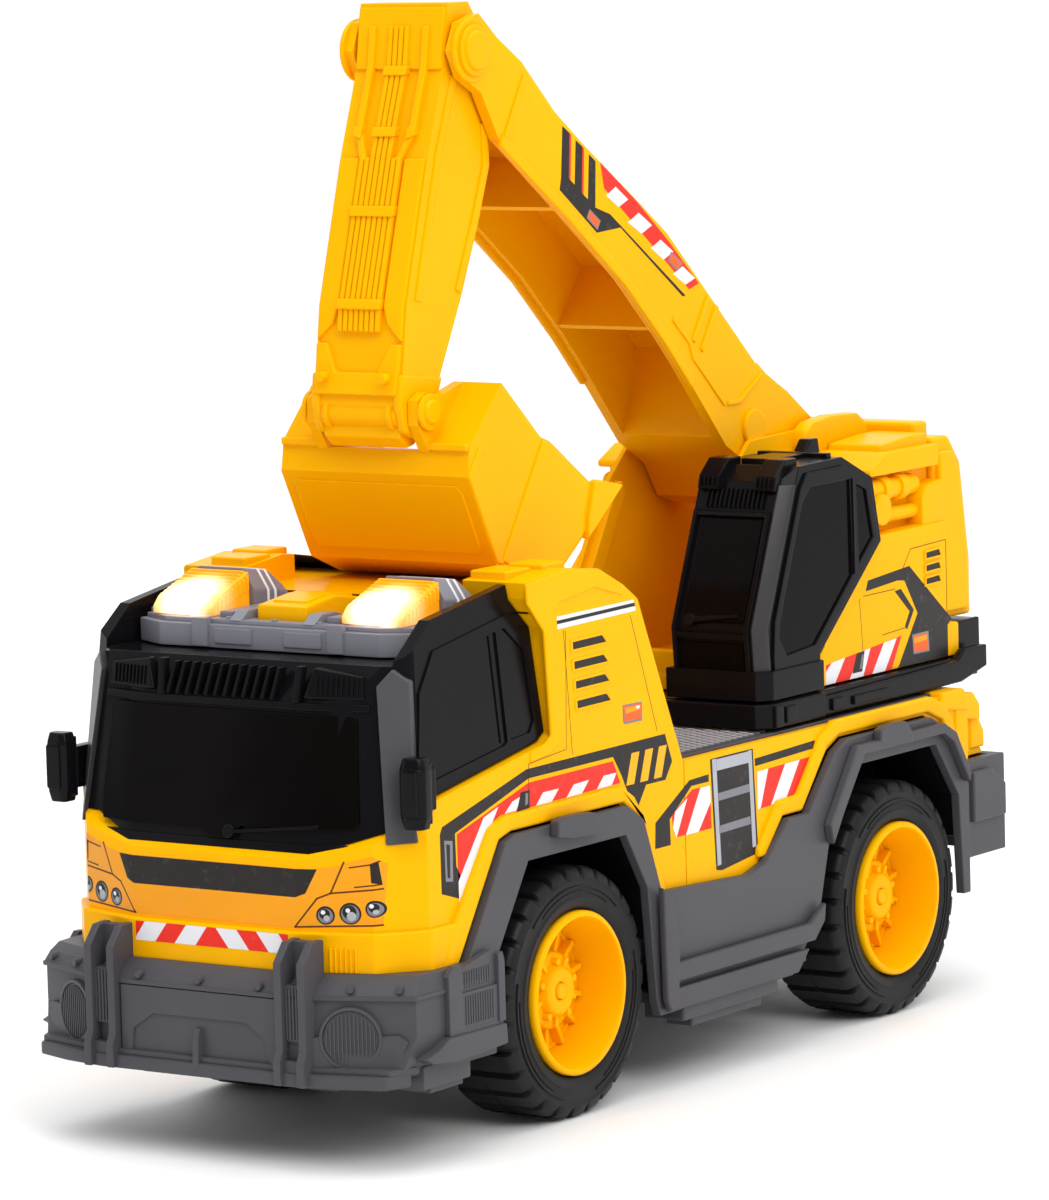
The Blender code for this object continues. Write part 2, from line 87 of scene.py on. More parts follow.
class Finish:
    def __init__(self, name, **constants):
        self.material = bpy.data.materials.new(name)
        self.material.use_nodes = True
        self.tree = self.material.node_tree
        self.surface = self.tree.nodes["Principled BSDF"]
        self.set(**constants)
        self.place = self.node("TexCoord", {}, output="Object")

    def feed(self, node, inputs):
        for key, value in inputs.items():
            socket = node.inputs[key]
            if isinstance(value, Value):
                self.tree.links.new(value.socket, socket)
            elif isinstance(value, tuple) and socket.type == "RGBA":
                socket.default_value = (*value, 1)
            else:
                socket.default_value = value

    def node(self, kind, settings, *values, output=0, **named):
        made = self.tree.nodes.new("ShaderNode" + kind)
        for key, value in settings.items():
            setattr(made, key, value)
        self.feed(made, dict(enumerate(values)))
        self.feed(made, {key.replace("_", " "): value for key, value in named.items()})
        return Value(self, made.outputs[output])

    def noise(self, scale, detail=2.0, rough=0.5, along=None):
        return self.node("TexNoise", {}, Vector=along or self.place, Scale=scale, Detail=detail,
                         Roughness=rough)

    def spread(self, value, lowest, highest, start=0.3, end=0.7):
        return self.node("MapRange", {}, value, start, end, lowest, highest)

    def mixed(self, share, first, second):
        made = self.tree.nodes.new("ShaderNodeMix")
        made.data_type = "RGBA"
        self.feed(made, {0: share, 6: first, 7: second})
        return Value(self, made.outputs[2])

    def set(self, **inputs):
        self.feed(self.surface, {key.replace("_", " "): value for key, value in inputs.items()})
        return self


def plastic(name, color, deep, gloss, grain, dust=0.0, **constants):
    # moulded plastic: flow marks in the colour, a fine sparked grain, and hair scratches that dull it
    made = Finish(name, **constants)
    flow = made.noise(28, 3)
    patches = made.noise(9, 2)
    scratch = made.node("TexWave", {"wave_profile": "SAW"}, Vector=made.place, Scale=60.0, Distortion=38.0,
                        Detail=3.0, Detail_Scale=2.2, output=1)
    scratches = made.spread(scratch, 0.0, 1.0, 0.97, 1.0)
    tone = made.mixed(made.spread(flow, 0.0, 1.0), color, deep)
    if dust:
        tone = made.mixed(made.spread(made.noise(300, 2), 0.0, dust, 0.6, 0.75), tone, (0.5, 0.5, 0.5))
    rough = made.spread(patches, gloss, gloss + 0.07) + 0.12 * scratches
    height = made.noise(1900, 1) * grain + made.noise(55, 1) * 0.5 - 0.15 * scratches
    lift = made.node("Bump", {}, Strength=0.25, Distance=0.00005, Height=height)
    return made.set(Base_Color=tone, Roughness=rough, Normal=lift)


def ink(name, color, gloss=0.28, **constants):
    # screen-printed film: a faint print dot and worn specks
    made = Finish(name, Specular_IOR_Level=0.15, **constants)
    worn = made.spread(made.noise(420, 2), 0.0, 0.06, 0.6, 0.8)
    tone = made.mixed(made.spread(made.noise(60, 2), 0.0, 0.22), color, tuple(0.75 * c for c in color))
    tone = made.mixed(worn, tone, (0.62, 0.6, 0.56))
    lift = made.node("Bump", {}, Strength=0.2, Distance=0.00003, Height=made.noise(900, 1))
    return made.set(Base_Color=tone, Roughness=made.spread(made.noise(35, 2), gloss, gloss + 0.12),
                    Normal=lift)


def metal(name, color, gloss):
    made = Finish(name, Metallic=1.0)
    brushed = made.node("Mapping", {}, Vector=made.place, Scale=(900, 60, 60))
    lines = made.noise(1, 3, along=brushed)
    lift = made.node("Bump", {}, Strength=0.2, Distance=0.00003, Height=lines)
    tone = made.mixed(lines, color, tuple(0.7 * c for c in color))
    return made.set(Base_Color=tone, Roughness=made.spread(lines, gloss, gloss + 0.2), Normal=lift)


def rubber(name):
    made = Finish(name, Specular_IOR_Level=0.2)
    dusty = made.spread(made.noise(45, 4, 0.6), 0.0, 1.0)
    tone = made.mixed(dusty, (0.0075, 0.0075, 0.0078), (0.014, 0.014, 0.0145))
    height = made.noise(700, 3, 0.6)
    lift = made.node("Bump", {}, Strength=0.35, Distance=0.00008, Height=height)
    return made.set(Base_Color=tone, Roughness=made.spread(made.noise(30, 2), 0.42, 0.58), Normal=lift)


def circuitBoard(name):
    made = Finish(name, Roughness=0.4)
    tracks = made.node("TexBrick", {}, Vector=made.place, Scale=120.0, Mortar_Size=0.03,
                       Color1=(0.01, 0.12, 0.04), Color2=(0.015, 0.16, 0.05), Mortar=(0.03, 0.3, 0.1))
    return made.set(Base_Color=tracks)


def lens(name, color, core, power):
    # lit from a lamp behind it: white hot near the lamp's place, amber away from it
    made = Finish(name, IOR=1.45, Specular_IOR_Level=0.3, Emission_Strength=power)
    swirl = made.spread(made.noise(90, 2), 0.0, 1.0)
    tone = made.mixed(swirl, color, tuple(0.85 * c for c in color))
    lift = made.node("Bump", {}, Strength=0.15, Distance=0.00005, Height=made.noise(260, 2))
    mirror = made.node("VectorMath", {"operation": "ABSOLUTE"}, made.place)
    away = made.node("VectorMath", {"operation": "DISTANCE"}, mirror, core, output=1)
    heat = made.spread(away, 1.0, 0.0, 0.002, 0.012) ** 2
    warm = made.spread(away, 1.0, 0.0, 0.004, 0.022)
    glow = made.mixed(heat, made.mixed(warm, (0.004, 0.001, 0.0), (0.16, 0.055, 0.002)), (1.0, 0.94, 0.78))
    made.set(Base_Color=tone, Roughness=made.spread(swirl, 0.16, 0.24, 0, 1), Normal=lift)
    return made.set(Emission_Color=glow)


finishes = {
    "yellow": plastic("amberPlastic", (0.96, 0.465, 0.0), (0.94, 0.435, 0.0), 0.24, 0.10,
                      Specular_IOR_Level=0.05),
    "dark_grey": plastic("darkGreyPlastic", (0.071, 0.069, 0.078), (0.061, 0.059, 0.068), 0.38, 0.40,
                         Specular_IOR_Level=0.22),
    "pale_grey": plastic("paleGreyPlastic", (0.22, 0.22, 0.26), (0.20, 0.20, 0.235), 0.34, 0.3,
                         Specular_IOR_Level=0.35),
    "black": plastic("glossBlackPlastic", (0.0045, 0.004, 0.005), (0.006, 0.0055, 0.0065), 0.16, 0.05,
                     Specular_IOR_Level=0.10),
    "smoke": plastic("smokedGlass", (0.003, 0.0022, 0.0022), (0.004, 0.003, 0.003), 0.08, 0.02,
                     Specular_IOR_Level=0.05),
    "darkTrim": plastic("satinTrim", (0.062, 0.060, 0.065), (0.052, 0.050, 0.055), 0.3, 0.1,
                        Specular_IOR_Level=0.4),
    "charcoal": plastic("charcoalTrim", (0.034, 0.033, 0.036), (0.028, 0.027, 0.03), 0.3, 0.1,
                        Specular_IOR_Level=0.3),
    "steel": metal("drawnSteel", (0.55, 0.55, 0.56), 0.25),
    "board": circuitBoard("greenBoard"),
    "tyre": rubber("tyreRubber"),
    "amber": lens("amberLens", (0.95, 0.40, 0.004), (0.0294, 0.1105, 0.1335), 5.0),
}
inks = {
    "white": ink("whitePrint", (0.80, 0.80, 0.84)),
    "red": ink("redPrint", (0.83, 0.028, 0.015)),
    "black": ink("blackPrint", (0.022, 0.019, 0.018)),
    "orange": ink("orangePrint", (0.86, 0.13, 0.02)),
    "yellow": ink("yellowPrint", (0.95, 0.44, 0.006)),
    "brown": ink("brownPrint", (0.11, 0.035, 0.004)),
    "grey": ink("greyPrint", (0.21, 0.21, 0.235)),
    "silver": ink("silverPrint", (0.42, 0.43, 0.48), 0.2),
    "panel": ink("panelPrint", (0.88, 0.34, 0.008)),
}
print("finishes made")


# shapes, each a bmesh in the drawing's millimetres

def softened(part, width, angle=24):
    sharp = [edge for edge in part.edges if edge.is_manifold and edge.calc_face_angle(0) > radians(angle)]
    if width and sharp:
        bmesh.ops.bevel(part, geom=sharp, offset=width, segments=2, profile=0.6, affect="EDGES",
                        clamp_overlap=True)
    return part


def onAxis(axis, a, b, along):
    return {"X": (along, a, b), "Y": (a, along, b), "Z": (a, b, along)}[axis]


def loft(axis, first, start, second, end, soft=0.4):
    part = bmesh.new()
    rings = [[part.verts.new(onAxis(axis, a, b, along)) for a, b in outline]
             for outline, along in ((first, start), (second, end))]
    for ring in rings:
        part.faces.new(ring)
    for index in range(len(first)):
        after = (index + 1) % len(first)
        part.faces.new((rings[0][index], rings[0][after], rings[1][after], rings[1][index]))
    bmesh.ops.recalc_face_normals(part, faces=part.faces)
    return softened(part, soft)


def plate(axis, outline, start, end, soft=0.4):
    return loft(axis, outline, start, outline, end, soft)


def block(x0, x1, y0, y1, z0, z1, soft=0.4):
    return plate("Z", [(x0, y0), (x1, y0), (x1, y1), (x0, y1)], z0, z1, soft)


def circle(a, b, radius, count=24):
    turns = [2 * pi * index / count for index in range(count)]
    return [(a + radius * cos(turn), b + radius * sin(turn)) for turn in turns]


def shifted(outline, a, b):
    return [(x + a, y + b) for x, y in outline]


def flipped(outline, sign):
    return [(sign * x, y) for x, y in outline]


def rod(axis, radius, start, end, a, b, top=None, soft=0.3, count=24):
    return loft(axis, circle(a, b, radius, count), start, circle(a, b, top or radius, count), end, soft)


def mirrored(part):
    bmesh.ops.scale(part, vec=(-1, 1, 1), verts=part.verts)
    bmesh.ops.reverse_faces(part, faces=part.faces)
    return part


def placed(part, matrix):
    bmesh.ops.transform(part, matrix=matrix, verts=part.verts)
    return part


def turnedAbout(part, angle, axis, centre):
    shift = Matrix.Translation(centre)
    return placed(part, shift @ Matrix.Rotation(radians(angle), 4, axis) @ shift.inverted())


def bothHalves(half):
    return half + flipped(reversed(half), -1)


def copyOf(node, soft=0.5, angle=24):
    # a CAD node's shape, merged and with its edges rounded
    part = bmesh.new()
    part.from_mesh(nodes[node].data)
    placed(part, toDrawing)
    bmesh.ops.remove_doubles(part, verts=part.verts, dist=0.003)
    bmesh.ops.dissolve_limit(part, angle_limit=radians(0.8), verts=part.verts, edges=part.edges)
    return softened(part, soft, angle)


def arrayTree():
    # copies of the incoming mesh, each a step and a turn about a centre past the one before
    tree = bpy.data.node_groups.new("copiesInOrder", "GeometryNodeTree")
    for name, kind in (("Mesh", "Geometry"), ("Count", "Int"), ("Step", "Vector"), ("Turn", "Vector"),
                       ("Centre", "Vector"), ("Finish", "Material")):
        tree.interface.new_socket(name, in_out="INPUT", socket_type="NodeSocket" + kind)
    tree.interface.new_socket("Mesh", in_out="OUTPUT", socket_type="NodeSocketGeometry")

    def node(kind, settings=(), **inputs):
        made = tree.nodes.new(kind)
        for key, value in settings:
            setattr(made, key, value)
        for key, value in inputs.items():
            tree.links.new(value, made.inputs[key.replace("_", " ")])
        return made.outputs[0]

    given = tree.nodes.new("NodeGroupInput").outputs
    index = node("GeometryNodeInputIndex")

    def times(vector):
        scaled = tree.nodes.new("ShaderNodeVectorMath")
        scaled.operation = "SCALE"
        tree.links.new(vector, scaled.inputs[0])
        tree.links.new(index, scaled.inputs["Scale"])
        return scaled.outputs[0]

    away = tree.nodes.new("ShaderNodeVectorMath")
    away.operation = "SCALE"
    away.inputs["Scale"].default_value = -1
    tree.links.new(given["Centre"], away.inputs[0])
    centred = node("GeometryNodeTransform", Geometry=given["Mesh"], Translation=away.outputs[0])
    points = node("GeometryNodePoints", Count=given["Count"], Position=times(given["Step"]))
    turn = node("FunctionNodeEulerToRotation", Euler=times(given["Turn"]))
    copies = node("GeometryNodeInstanceOnPoints", Points=points, Instance=centred, Rotation=turn)
    back = node("GeometryNodeTransform", Geometry=copies, Translation=given["Centre"])
    real = node("GeometryNodeRealizeInstances", Geometry=back)
    painted = node("GeometryNodeSetMaterial", Geometry=real, Material=given["Finish"])
    out = tree.nodes.new("NodeGroupOutput")
    tree.links.new(painted, out.inputs["Mesh"])
    return tree


copiesInOrder = arrayTree()


def repeated(part, count, step=(0, 0, 0), turn=(0, 0, 0), centre=(0, 0, 0)):
    source = bpy.data.meshes.new("oneOfMany")
    part.to_mesh(source)
    part.free()
    holder = bpy.data.objects.new("oneOfMany", source)
    bpy.context.scene.collection.objects.link(holder)
    modifier = holder.modifiers.new("copies", "NODES")
    modifier.node_group = copiesInOrder
    given = {"Count": count, "Step": tuple(map(float, step)), "Turn": tuple(radians(t) for t in turn),
             "Centre": tuple(map(float, centre)), "Finish": finishes["yellow"].material}
    for socket in copiesInOrder.interface.items_tree:
        if socket.in_out == "INPUT" and socket.name in given:
            modifier[socket.identifier] = given[socket.name]
    bpy.context.view_layer.update()
    graph = bpy.context.evaluated_depsgraph_get()
    mesh = bpy.data.meshes.new_from_object(holder.evaluated_get(graph))
    made = bmesh.new()
    made.from_mesh(mesh)
    bpy.data.objects.remove(holder)
    bpy.data.meshes.remove(mesh)
    return made


class Piece:
    def __init__(self, name, *used):
        self.name, self.used, self.mesh = name, used, bmesh.new()

    def add(self, *parts, finish=0, sign=1):
        # parts drawn at +X, put on the other side where sign is -1
        for part in parts:
            if sign < 0:
                mirrored(part)
            for face in part.faces:
                face.material_index = finish
                face.smooth = True
            scratch = bpy.data.meshes.new("scratch")
            part.to_mesh(scratch)
            part.free()
            self.mesh.from_mesh(scratch)
            bpy.data.meshes.remove(scratch)
        return self

    def done(self, *replaced, body=None, slot=None, sharp=50):
        mesh = bpy.data.meshes.new(self.name)
        placed(self.mesh, toWorld)
        self.mesh.to_mesh(mesh)
        self.mesh.free()
        for used in self.used:
            mesh.materials.append(used.material)
        mesh.set_sharp_from_angle(angle=radians(sharp))
        piece = bpy.data.objects.new(self.name, mesh)
        bpy.context.scene.collection.objects.link(piece)
        even = piece.modifiers.new("evenNormals", "WEIGHTED_NORMAL")
        even.keep_sharp = True
        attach(piece, body or bodyOf[replaced[0]])
        if replaced:
            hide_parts(*replaced)
        return piece


# wheels: a tyre is one slice with its lug and groove, copied round by the node tree
wheel = {"slices": 28, "spokes": 14, "nuts": 5, "lines": ((26.9, -44, 88), (25.6, -34, 68)), "lineSteps": 18,
         "turnedSteps": 64}


def tyreSlice(centre):
    y, z = centre
    whole = 2 * pi / wheel["slices"]
    outline = [(20.3, 32.6), (20.3, 52.4), (21.0, 53.6), (22.2, 54.9), (24.2, 55.1), (24.6, 54.7),
               (28.4, 54.5), (28.8, 54.9), (30.2, 54.5), (31.4, 53.7), (32.0, 52.3), (32.0, 43.5),
               (31.7, 43.2), (31.7, 42.6), (32.0, 42.3), (32.0, 33.9), (31.2, 32.2), (24.5, 31.5),
               (21.2, 31.6)]
    cut = {8: 0.9, 9: 1.4, 10: 1.5, 11: 1.5, 12: 1.2, 13: 1.2, 14: 1.5, 15: 1.5, 16: 1.0}
    stops = [(0.0, 0), (0.36, 0), (0.44, 1), (0.60, 1), (0.68, 0), (1.0, 0)]
    part = bmesh.new()
    rings = []
    for share, depth in stops:
        angle = share * whole
        ring = [(radius - depth * cut.get(index, 0), x) for index, (radius, x) in enumerate(outline)]
        rings.append([part.verts.new((x, y + r * sin(angle), z + r * cos(angle))) for r, x in ring])
    for first, second in zip(rings, rings[1:]):
        for index in range(len(outline)):
            after = (index + 1) % len(outline)
            part.faces.new((first[index], second[index], second[after], first[after]))
    return part


def makeWheel(end, side, sign, centre):
    y, z = centre
    middle = (0, y, z)
    tyre = repeated(tyreSlice(centre), wheel["slices"], turn=(-360 / wheel["slices"], 0, 0), centre=middle)
    bmesh.ops.remove_doubles(tyre, verts=tyre.verts, dist=0.01)
    bmesh.ops.recalc_face_normals(tyre, faces=tyre.faces)
    raised = []
    for angle in (0, 120, 240):       # three raised sidewall lines, each in two steps
        for radius, start, reach in wheel["lines"]:
            steps = wheel["lineSteps"]
            bar = bmesh.new()
            ring = []
            for index in range(steps + 1):
                turn = radians(angle + start + reach * index / steps)
                ring.append([bar.verts.new((x, y + r * sin(turn), z + r * cos(turn)))
                             for r, x in ((radius - 0.35, 54.3), (radius - 0.2, 54.95), (radius + 0.2, 54.95),
                                          (radius + 0.35, 54.3))])
            for first, second in zip(ring, ring[1:]):
                for i in range(4):
                    bar.faces.new((first[i], second[i], second[(i + 1) % 4], first[(i + 1) % 4]))
            bar.faces.new(ring[0])
            bar.faces.new(ring[-1])
            bmesh.ops.recalc_face_normals(bar, faces=bar.faces)
            raised.append(bar)
    whole = Piece(f"tyre_{end}_{side}_treaded", finishes["tyre"])
    whole.add(tyre, *raised, sign=sign).done(f"tyre_{end}_{side}")

    def lathe(profile):
        steps = wheel["turnedSteps"]
        part = bmesh.new()
        rings = [[part.verts.new((x, y + r * sin(2 * pi * i / steps), z + r * cos(2 * pi * i / steps)))
                  for r, x in profile] for i in range(steps)]
        for index, ring in enumerate(rings):
            after = rings[(index + 1) % steps]
            for i in range(len(profile)):
                part.faces.new((ring[i], ring[(i + 1) % len(profile)], after[(i + 1) % len(profile)],
                                after[i]))
        bmesh.ops.recalc_face_normals(part, faces=part.faces)
        return part

    dish = lathe([(2.3, 38.2), (2.3, 49.4), (3.2, 50.0), (5.4, 50.0), (6.3, 49.4), (6.9, 47.6), (9.2, 47.2),
                  (9.9, 46.6), (10.2, 42.6), (15.6, 42.6), (15.9, 43.4), (16.4, 43.4), (16.7, 43.0),
                  (18.9, 55.0), (19.4, 55.9), (20.3, 55.9), (20.9, 55.3), (20.9, 53.6), (19.9, 52.6),
                  (19.2, 36.2), (16.6, 36.2), (16, 40), (8, 40), (7, 38.2)])
    hub = rod("X", 2.3, 48.6, 50.2, y, z, top=1.9, soft=0.3)
    spoke = loft("X", [(y - 1.15, z + 8.8), (y + 1.15, z + 8.8), (y + 1.0, z + 16.6), (y - 1.0, z + 16.6)],
                 41.5,
                 [(y - 0.8, z + 8.8), (y + 0.8, z + 8.8), (y + 0.65, z + 16.4), (y - 0.65, z + 16.4)], 45.2,
                 0.25)
    spokes = repeated(spoke, wheel["spokes"], turn=(360 / wheel["spokes"], 0, 0), centre=middle)
    nut = rod("X", 1.25, 46.4, 49.2, y, z + 7.4, top=1.05, soft=0.3, count=6)
    ridge = block(46, 48.3, y - 0.7, y + 0.7, z + 5.4, z + 9.4, 0.3)
    nuts = repeated(nut, wheel["nuts"], turn=(360 / wheel["nuts"], 0, 0), centre=middle)
    ridges = repeated(ridge, wheel["nuts"], turn=(360 / wheel["nuts"], 0, 0), centre=middle)
    whole = Piece(f"rim_{end}_{side}_spoked", finishes["yellow"])
    whole.add(dish, hub, spokes, nuts, turnedAbout(ridges, 180 / wheel["nuts"], "X", middle), sign=sign)
    whole.done(f"rim_{end}_{side}")


for end in ("front", "rear"):
    low, high = (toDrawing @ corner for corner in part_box(f"{end}_axle"))
    for side, sign in sides:
        makeWheel(end, side, sign, ((low.y + high.y) / 2, (low.z + high.z) / 2))
print("wheels made")


def minus(part, *tools):
    # each tool's shape taken out of a part, before its edges are rounded
    def holder(mesh):
        data = bpy.data.meshes.new("boolean")
        mesh.to_mesh(data)
        mesh.free()
        made = bpy.data.objects.new("boolean", data)
        bpy.context.scene.collection.objects.link(made)
        return made

    base = holder(part)
    cutters = [holder(tool) for tool in tools]
    for cutter in cutters:
        modifier = base.modifiers.new("cut", "BOOLEAN")
        modifier.operation, modifier.solver, modifier.object = "DIFFERENCE", "EXACT", cutter
    graph = bpy.context.evaluated_depsgraph_get()
    mesh = bpy.data.meshes.new_from_object(base.evaluated_get(graph))
    made = bmesh.new()
    made.from_mesh(mesh)
    for item in [base] + cutters:
        bpy.data.objects.remove(item)
    bpy.data.meshes.remove(mesh)
    bmesh.ops.dissolve_limit(made, angle_limit=radians(0.5), verts=made.verts, edges=made.edges)
    return made


def both(piece, *parts, finish=0):
    for part in parts:
        piece.add(part, mirrored(part.copy()), finish=finish)


def ushape(outer, inner):
    # a bar along the front and both sides, from the outlines of its half at +X
    return [*outer[::-1], *flipped(outer, -1), *flipped(inner[::-1], -1), *inner]


def stroke(points, width):
    # each stretch of a line as a narrow outline
    outlines = []
    for (a, b), (c, d) in zip(points, points[1:]):
        reach = hypot(c - a, d - b)
        p, q = (c - a) / reach * width / 2, (d - b) / reach * width / 2
        outlines.append([(a - q - p, b + p - q), (c - q + p, d + p + q), (c + q + p, d - p + q),
                         (a + q - p, b - p - q)])
    return outlines


def level(points):
    # height of a line of (position, value) points at a position
    def at(position):
        for (a, b), (c, d) in zip(points, points[1:]):
            if position <= c:
                return b + (d - b) * (position - a) / (c - a)
        return points[-1][1]
    return at


def wrapped(outline, lift, surface, folds, depth=0.5):
    # a film laid over a front that folds: its outline is (x, z), and surface gives y
    part = bmesh.new()
    part.faces.new([part.verts.new((x, 0, z)) for x, z in outline])
    for (x, z), (nx, nz) in folds:
        bmesh.ops.bisect_plane(part, geom=part.verts[:] + part.edges[:] + part.faces[:], plane_co=(x, 0, z),
                               plane_no=(nx, 0, nz))
    whole = bmesh.ops.extrude_face_region(part, geom=part.faces[:])
    back = {vert for vert in whole["geom"] if isinstance(vert, bmesh.types.BMVert)}
    for vert in part.verts:
        vert.co.y = surface(vert.co.x, vert.co.z) - (-depth if vert in back else lift)
    bmesh.ops.recalc_face_normals(part, faces=part.faces)
    return part


# front bumper
bumper = {"foot": 21.2, "faceFrom": 24.6, "faceTo": 42.4, "top": 48.0, "ribs": (25.7, 32.7), "ribHalf": 1.15,
          "lamp": (13.0, 33), "lampRadius": 6.9, "lampBars": 13}


def makeFrontBumper():
    piece = Piece("front_bumper_ribbed", finishes["dark_grey"])
    face = [(30, -84.6), (57, -73.2), (57.6, -60), (57.6, -39)]
    inner = [(29, -80), (53.4, -70), (54, -60), (54, -39)]
    low = [(30, -84.6), (54.6, -77.0), (56.4, -60), (56.6, -39)]
    piece.add(loft("Z", ushape(low, inner), bumper["faceFrom"] - 1, ushape(face, inner), 33.5, 0.3))
    piece.add(plate("Z", ushape(face, inner), 33.4, bumper["faceTo"], 0.2))
    ledge = [(30, -85.6), (57.6, -74.0), (58.1, -60), (58.1, -39)]
    upper = [(29, -80.2), (55.6, -69.6), (56.6, -60), (56.6, -39)]
    piece.add(plate("Z", ushape(ledge, inner), bumper["faceTo"], 43.6, 0.3))
    shoulder = [(30, -85.2), (57.3, -73.8), (57.9, -60), (57.9, -39)]
    brow = [(30, -82.9), (56.6, -71.8), (57.4, -60), (57.4, -39)]
    shelf = [(24.6, -78.4), (43.2, -72.2), (54, -61), (54, -39)]
    piece.add(loft("Z", ushape(shoulder, shelf), 43.5, ushape(brow, shelf), 46.2, 0.25))
    piece.add(loft("Z", ushape(brow, shelf), 46.1, ushape(upper, shelf), bumper["top"], 0.3))
    lip = [(30, -87.4), (42, -85.2), (53.2, -81.3), (55.6, -74)]
    lipIn = [(29, -80), (40, -78), (50, -75), (51, -72)]
    piece.add(plate("Z", ushape(lip, lipIn), bumper["foot"], bumper["faceFrom"], 0.7))
    piece.add(plate("Z", ushape([(30, -86.2), (53.4, -79.9), (56.6, -72)], lipIn[:2] + [(51, -72)]),
                    bumper["faceFrom"] - 0.3, bumper["faceFrom"] + 1.4, 0.5))
    trapezoid = [(-20.8, 25.8), (-20.3, 31.4), (-14, 35.6), (14.4, 35.6), (19.9, 31.9), (21.4, 25.8)]
    raised = [(-24, 25.4), (-24, 42.2), (24, 42.2), (24, 25.4)]
    piece.add(softened(minus(plate("Y", raised, -85.5, -84.2, 0), plate("Y", trapezoid, -86, -84.9, 0)), 0.3))
    piece.add(plate("X", [(-84.4, 22.5), (-87.6, 22.5), (-87.0, 31.2), (-86.2, 33), (-84.4, 33)], -0.9, 0.9,
                    0.3))
    side = [(-81, 21.4), (-88.6, 21.4), (-88.6, 27.2), (-87.3, 30.0), (-87.3, 51.5), (-83.4, 56.3),
            (-78.6, 56.6),
            (-78.6, 46), (-80, 44)]
    half = bumper["ribHalf"]
    both(piece, *[plate("X", side, x - half, x + half, 0.45) for x in bumper["ribs"]],
         block(26, 32.4, -85.6, -80, 32, 46, 0.4), block(26, 32.4, -81.4, -78.6, 45, 56.2, 0.3),
         block(26, 32.4, -86.8, -84, 22, 27.5, 0.5),
         repeated(block(27.05, 27.55, -86.0, -85.3, 32.6, 45.4, 0.12), 5, step=(1.0, 0, 0)))
    piece.add(repeated(rod("Y", 0.9, -85.9, -84.2, -18.4, 45.0, top=1.1, soft=0.25, count=14), 3,
                       step=(18.5, 0, 0)))
    turn = Matrix.Translation((30, -84.6, 0)) @ Matrix.Rotation(atan2(11.4, 27), 4, "Z")
    lampX, lampZ = bumper["lamp"]
    for sign in (1, -1):
        ring = minus(plate("Y", circle(lampX, lampZ, 7.9, 40), -1.3, 0.4, 0),
                     rod("Y", 7.0, -2, 1, lampX, lampZ, soft=0, count=40))
        around = [(3.4, 25.2), (3.4, 33.0), (5.2, 33.7), (20.4, 33.7), (24.8, 34.0), (27.4, 32.4),
                  (24.2, 26.2), (23, 25.2)]
        pad = minus(plate("Y", around, -1.1, 0.4, 0), rod("Y", 7.6, -2, 1, lampX, lampZ, soft=0, count=40))
        disc = rod("Y", bumper["lampRadius"], -0.9, 0.4, lampX, lampZ, soft=0.2, count=40)
        parts = [softened(ring, 0.3), softened(pad, 0.35), disc]
        for index in range(bumper["lampBars"]):
            x = index - (bumper["lampBars"] - 1) / 2
            reach = ((bumper["lampRadius"] - 0.4) ** 2 - x * x) ** 0.5
            parts.append(block(lampX + x - 0.22, lampX + x + 0.22, -1.3, -0.8, lampZ - reach, lampZ + reach,
                               0.12))
        rivet = rod("Y", 0.9, -1.0, 1.5, 13.2, 45.2, top=1.1, soft=0.25, count=14)
        parts.append(repeated(rivet, 2, step=(12.2, 0, 0)))
        parts = [placed(part, turn) for part in parts]      # up to here drawn flat, then turned onto the wing
        post = [(-62, 32), (-62, 46.5), (-59.6, 48.8), (-57.2, 48.8), (-56.4, 46.5), (-56.4, 32)]
        flare = [(-67, 29.6), (-63, 31.6), (-38.4, 31.4), (-38, 26.2), (-58.6, 25.2), (-70, 26.4), (-73, 28)]
        piece.add(*parts, plate("X", post, 57, 59.0, 0.3),
                  plate("X", [(-56.4, 32.4), (-56.4, 41.5), (-40.8, 41.5), (-40.8, 32.4)], 57, 58.7, 0.3),
                  plate("X", [(-56.4, 41), (-56.4, 47.2), (-42.4, 50.2), (-40.8, 49), (-40.8, 41)], 56, 58.0,
                        0.3),
                  plate("X", [(-41, 32), (-41, 49), (-39, 49.4), (-38.2, 47), (-38.2, 32)], 57, 59.2, 0.3),
                  repeated(block(58.4, 58.95, -54.8, -54.3, 33.4, 40.6, 0.12), 12, step=(0, 1.05, 0)),
                  repeated(block(57.7, 58.25, -54.2, -53.7, 42.4, 46.6, 0.12), 11, step=(0, 1.05, 0)),
                  plate("X", flare, 56, 59.6, 0.5),
                  plate("X", [(-63, 30.6), (-61, 32.6), (-38.8, 32.6), (-38.8, 30.6)], 56, 58.8, 0.3),
                  block(47, 56.4, -70, -50, 19.6, 25.6, 0.6), block(46, 55.4, -66, -52, 18.2, 20.2, 0.4),
                  sign=sign)
    piece.add(block(-29.2, 29.2, -81, -70.3, 40, 43.5))
    piece.done("front_bumper")


makeFrontBumper()
print("bumper made")

# printed film stands a little over the plastic, and each layer over the one below
film = {"over": 0.06, "layer": 0.03, "under": 0.3}


def sideFilm(name, used, sign, x):
    # film on a flat side at x: the piece, and what lays an outline (y, z) on it
    piece = Piece(name, *[inks[key] for key in used])

    def lay(outline, finish, layer=0):
        piece.add(plate("X", outline, x - film["under"], x + film["over"] + film["layer"] * layer, 0),
                  finish=finish, sign=sign)

    return piece, lay


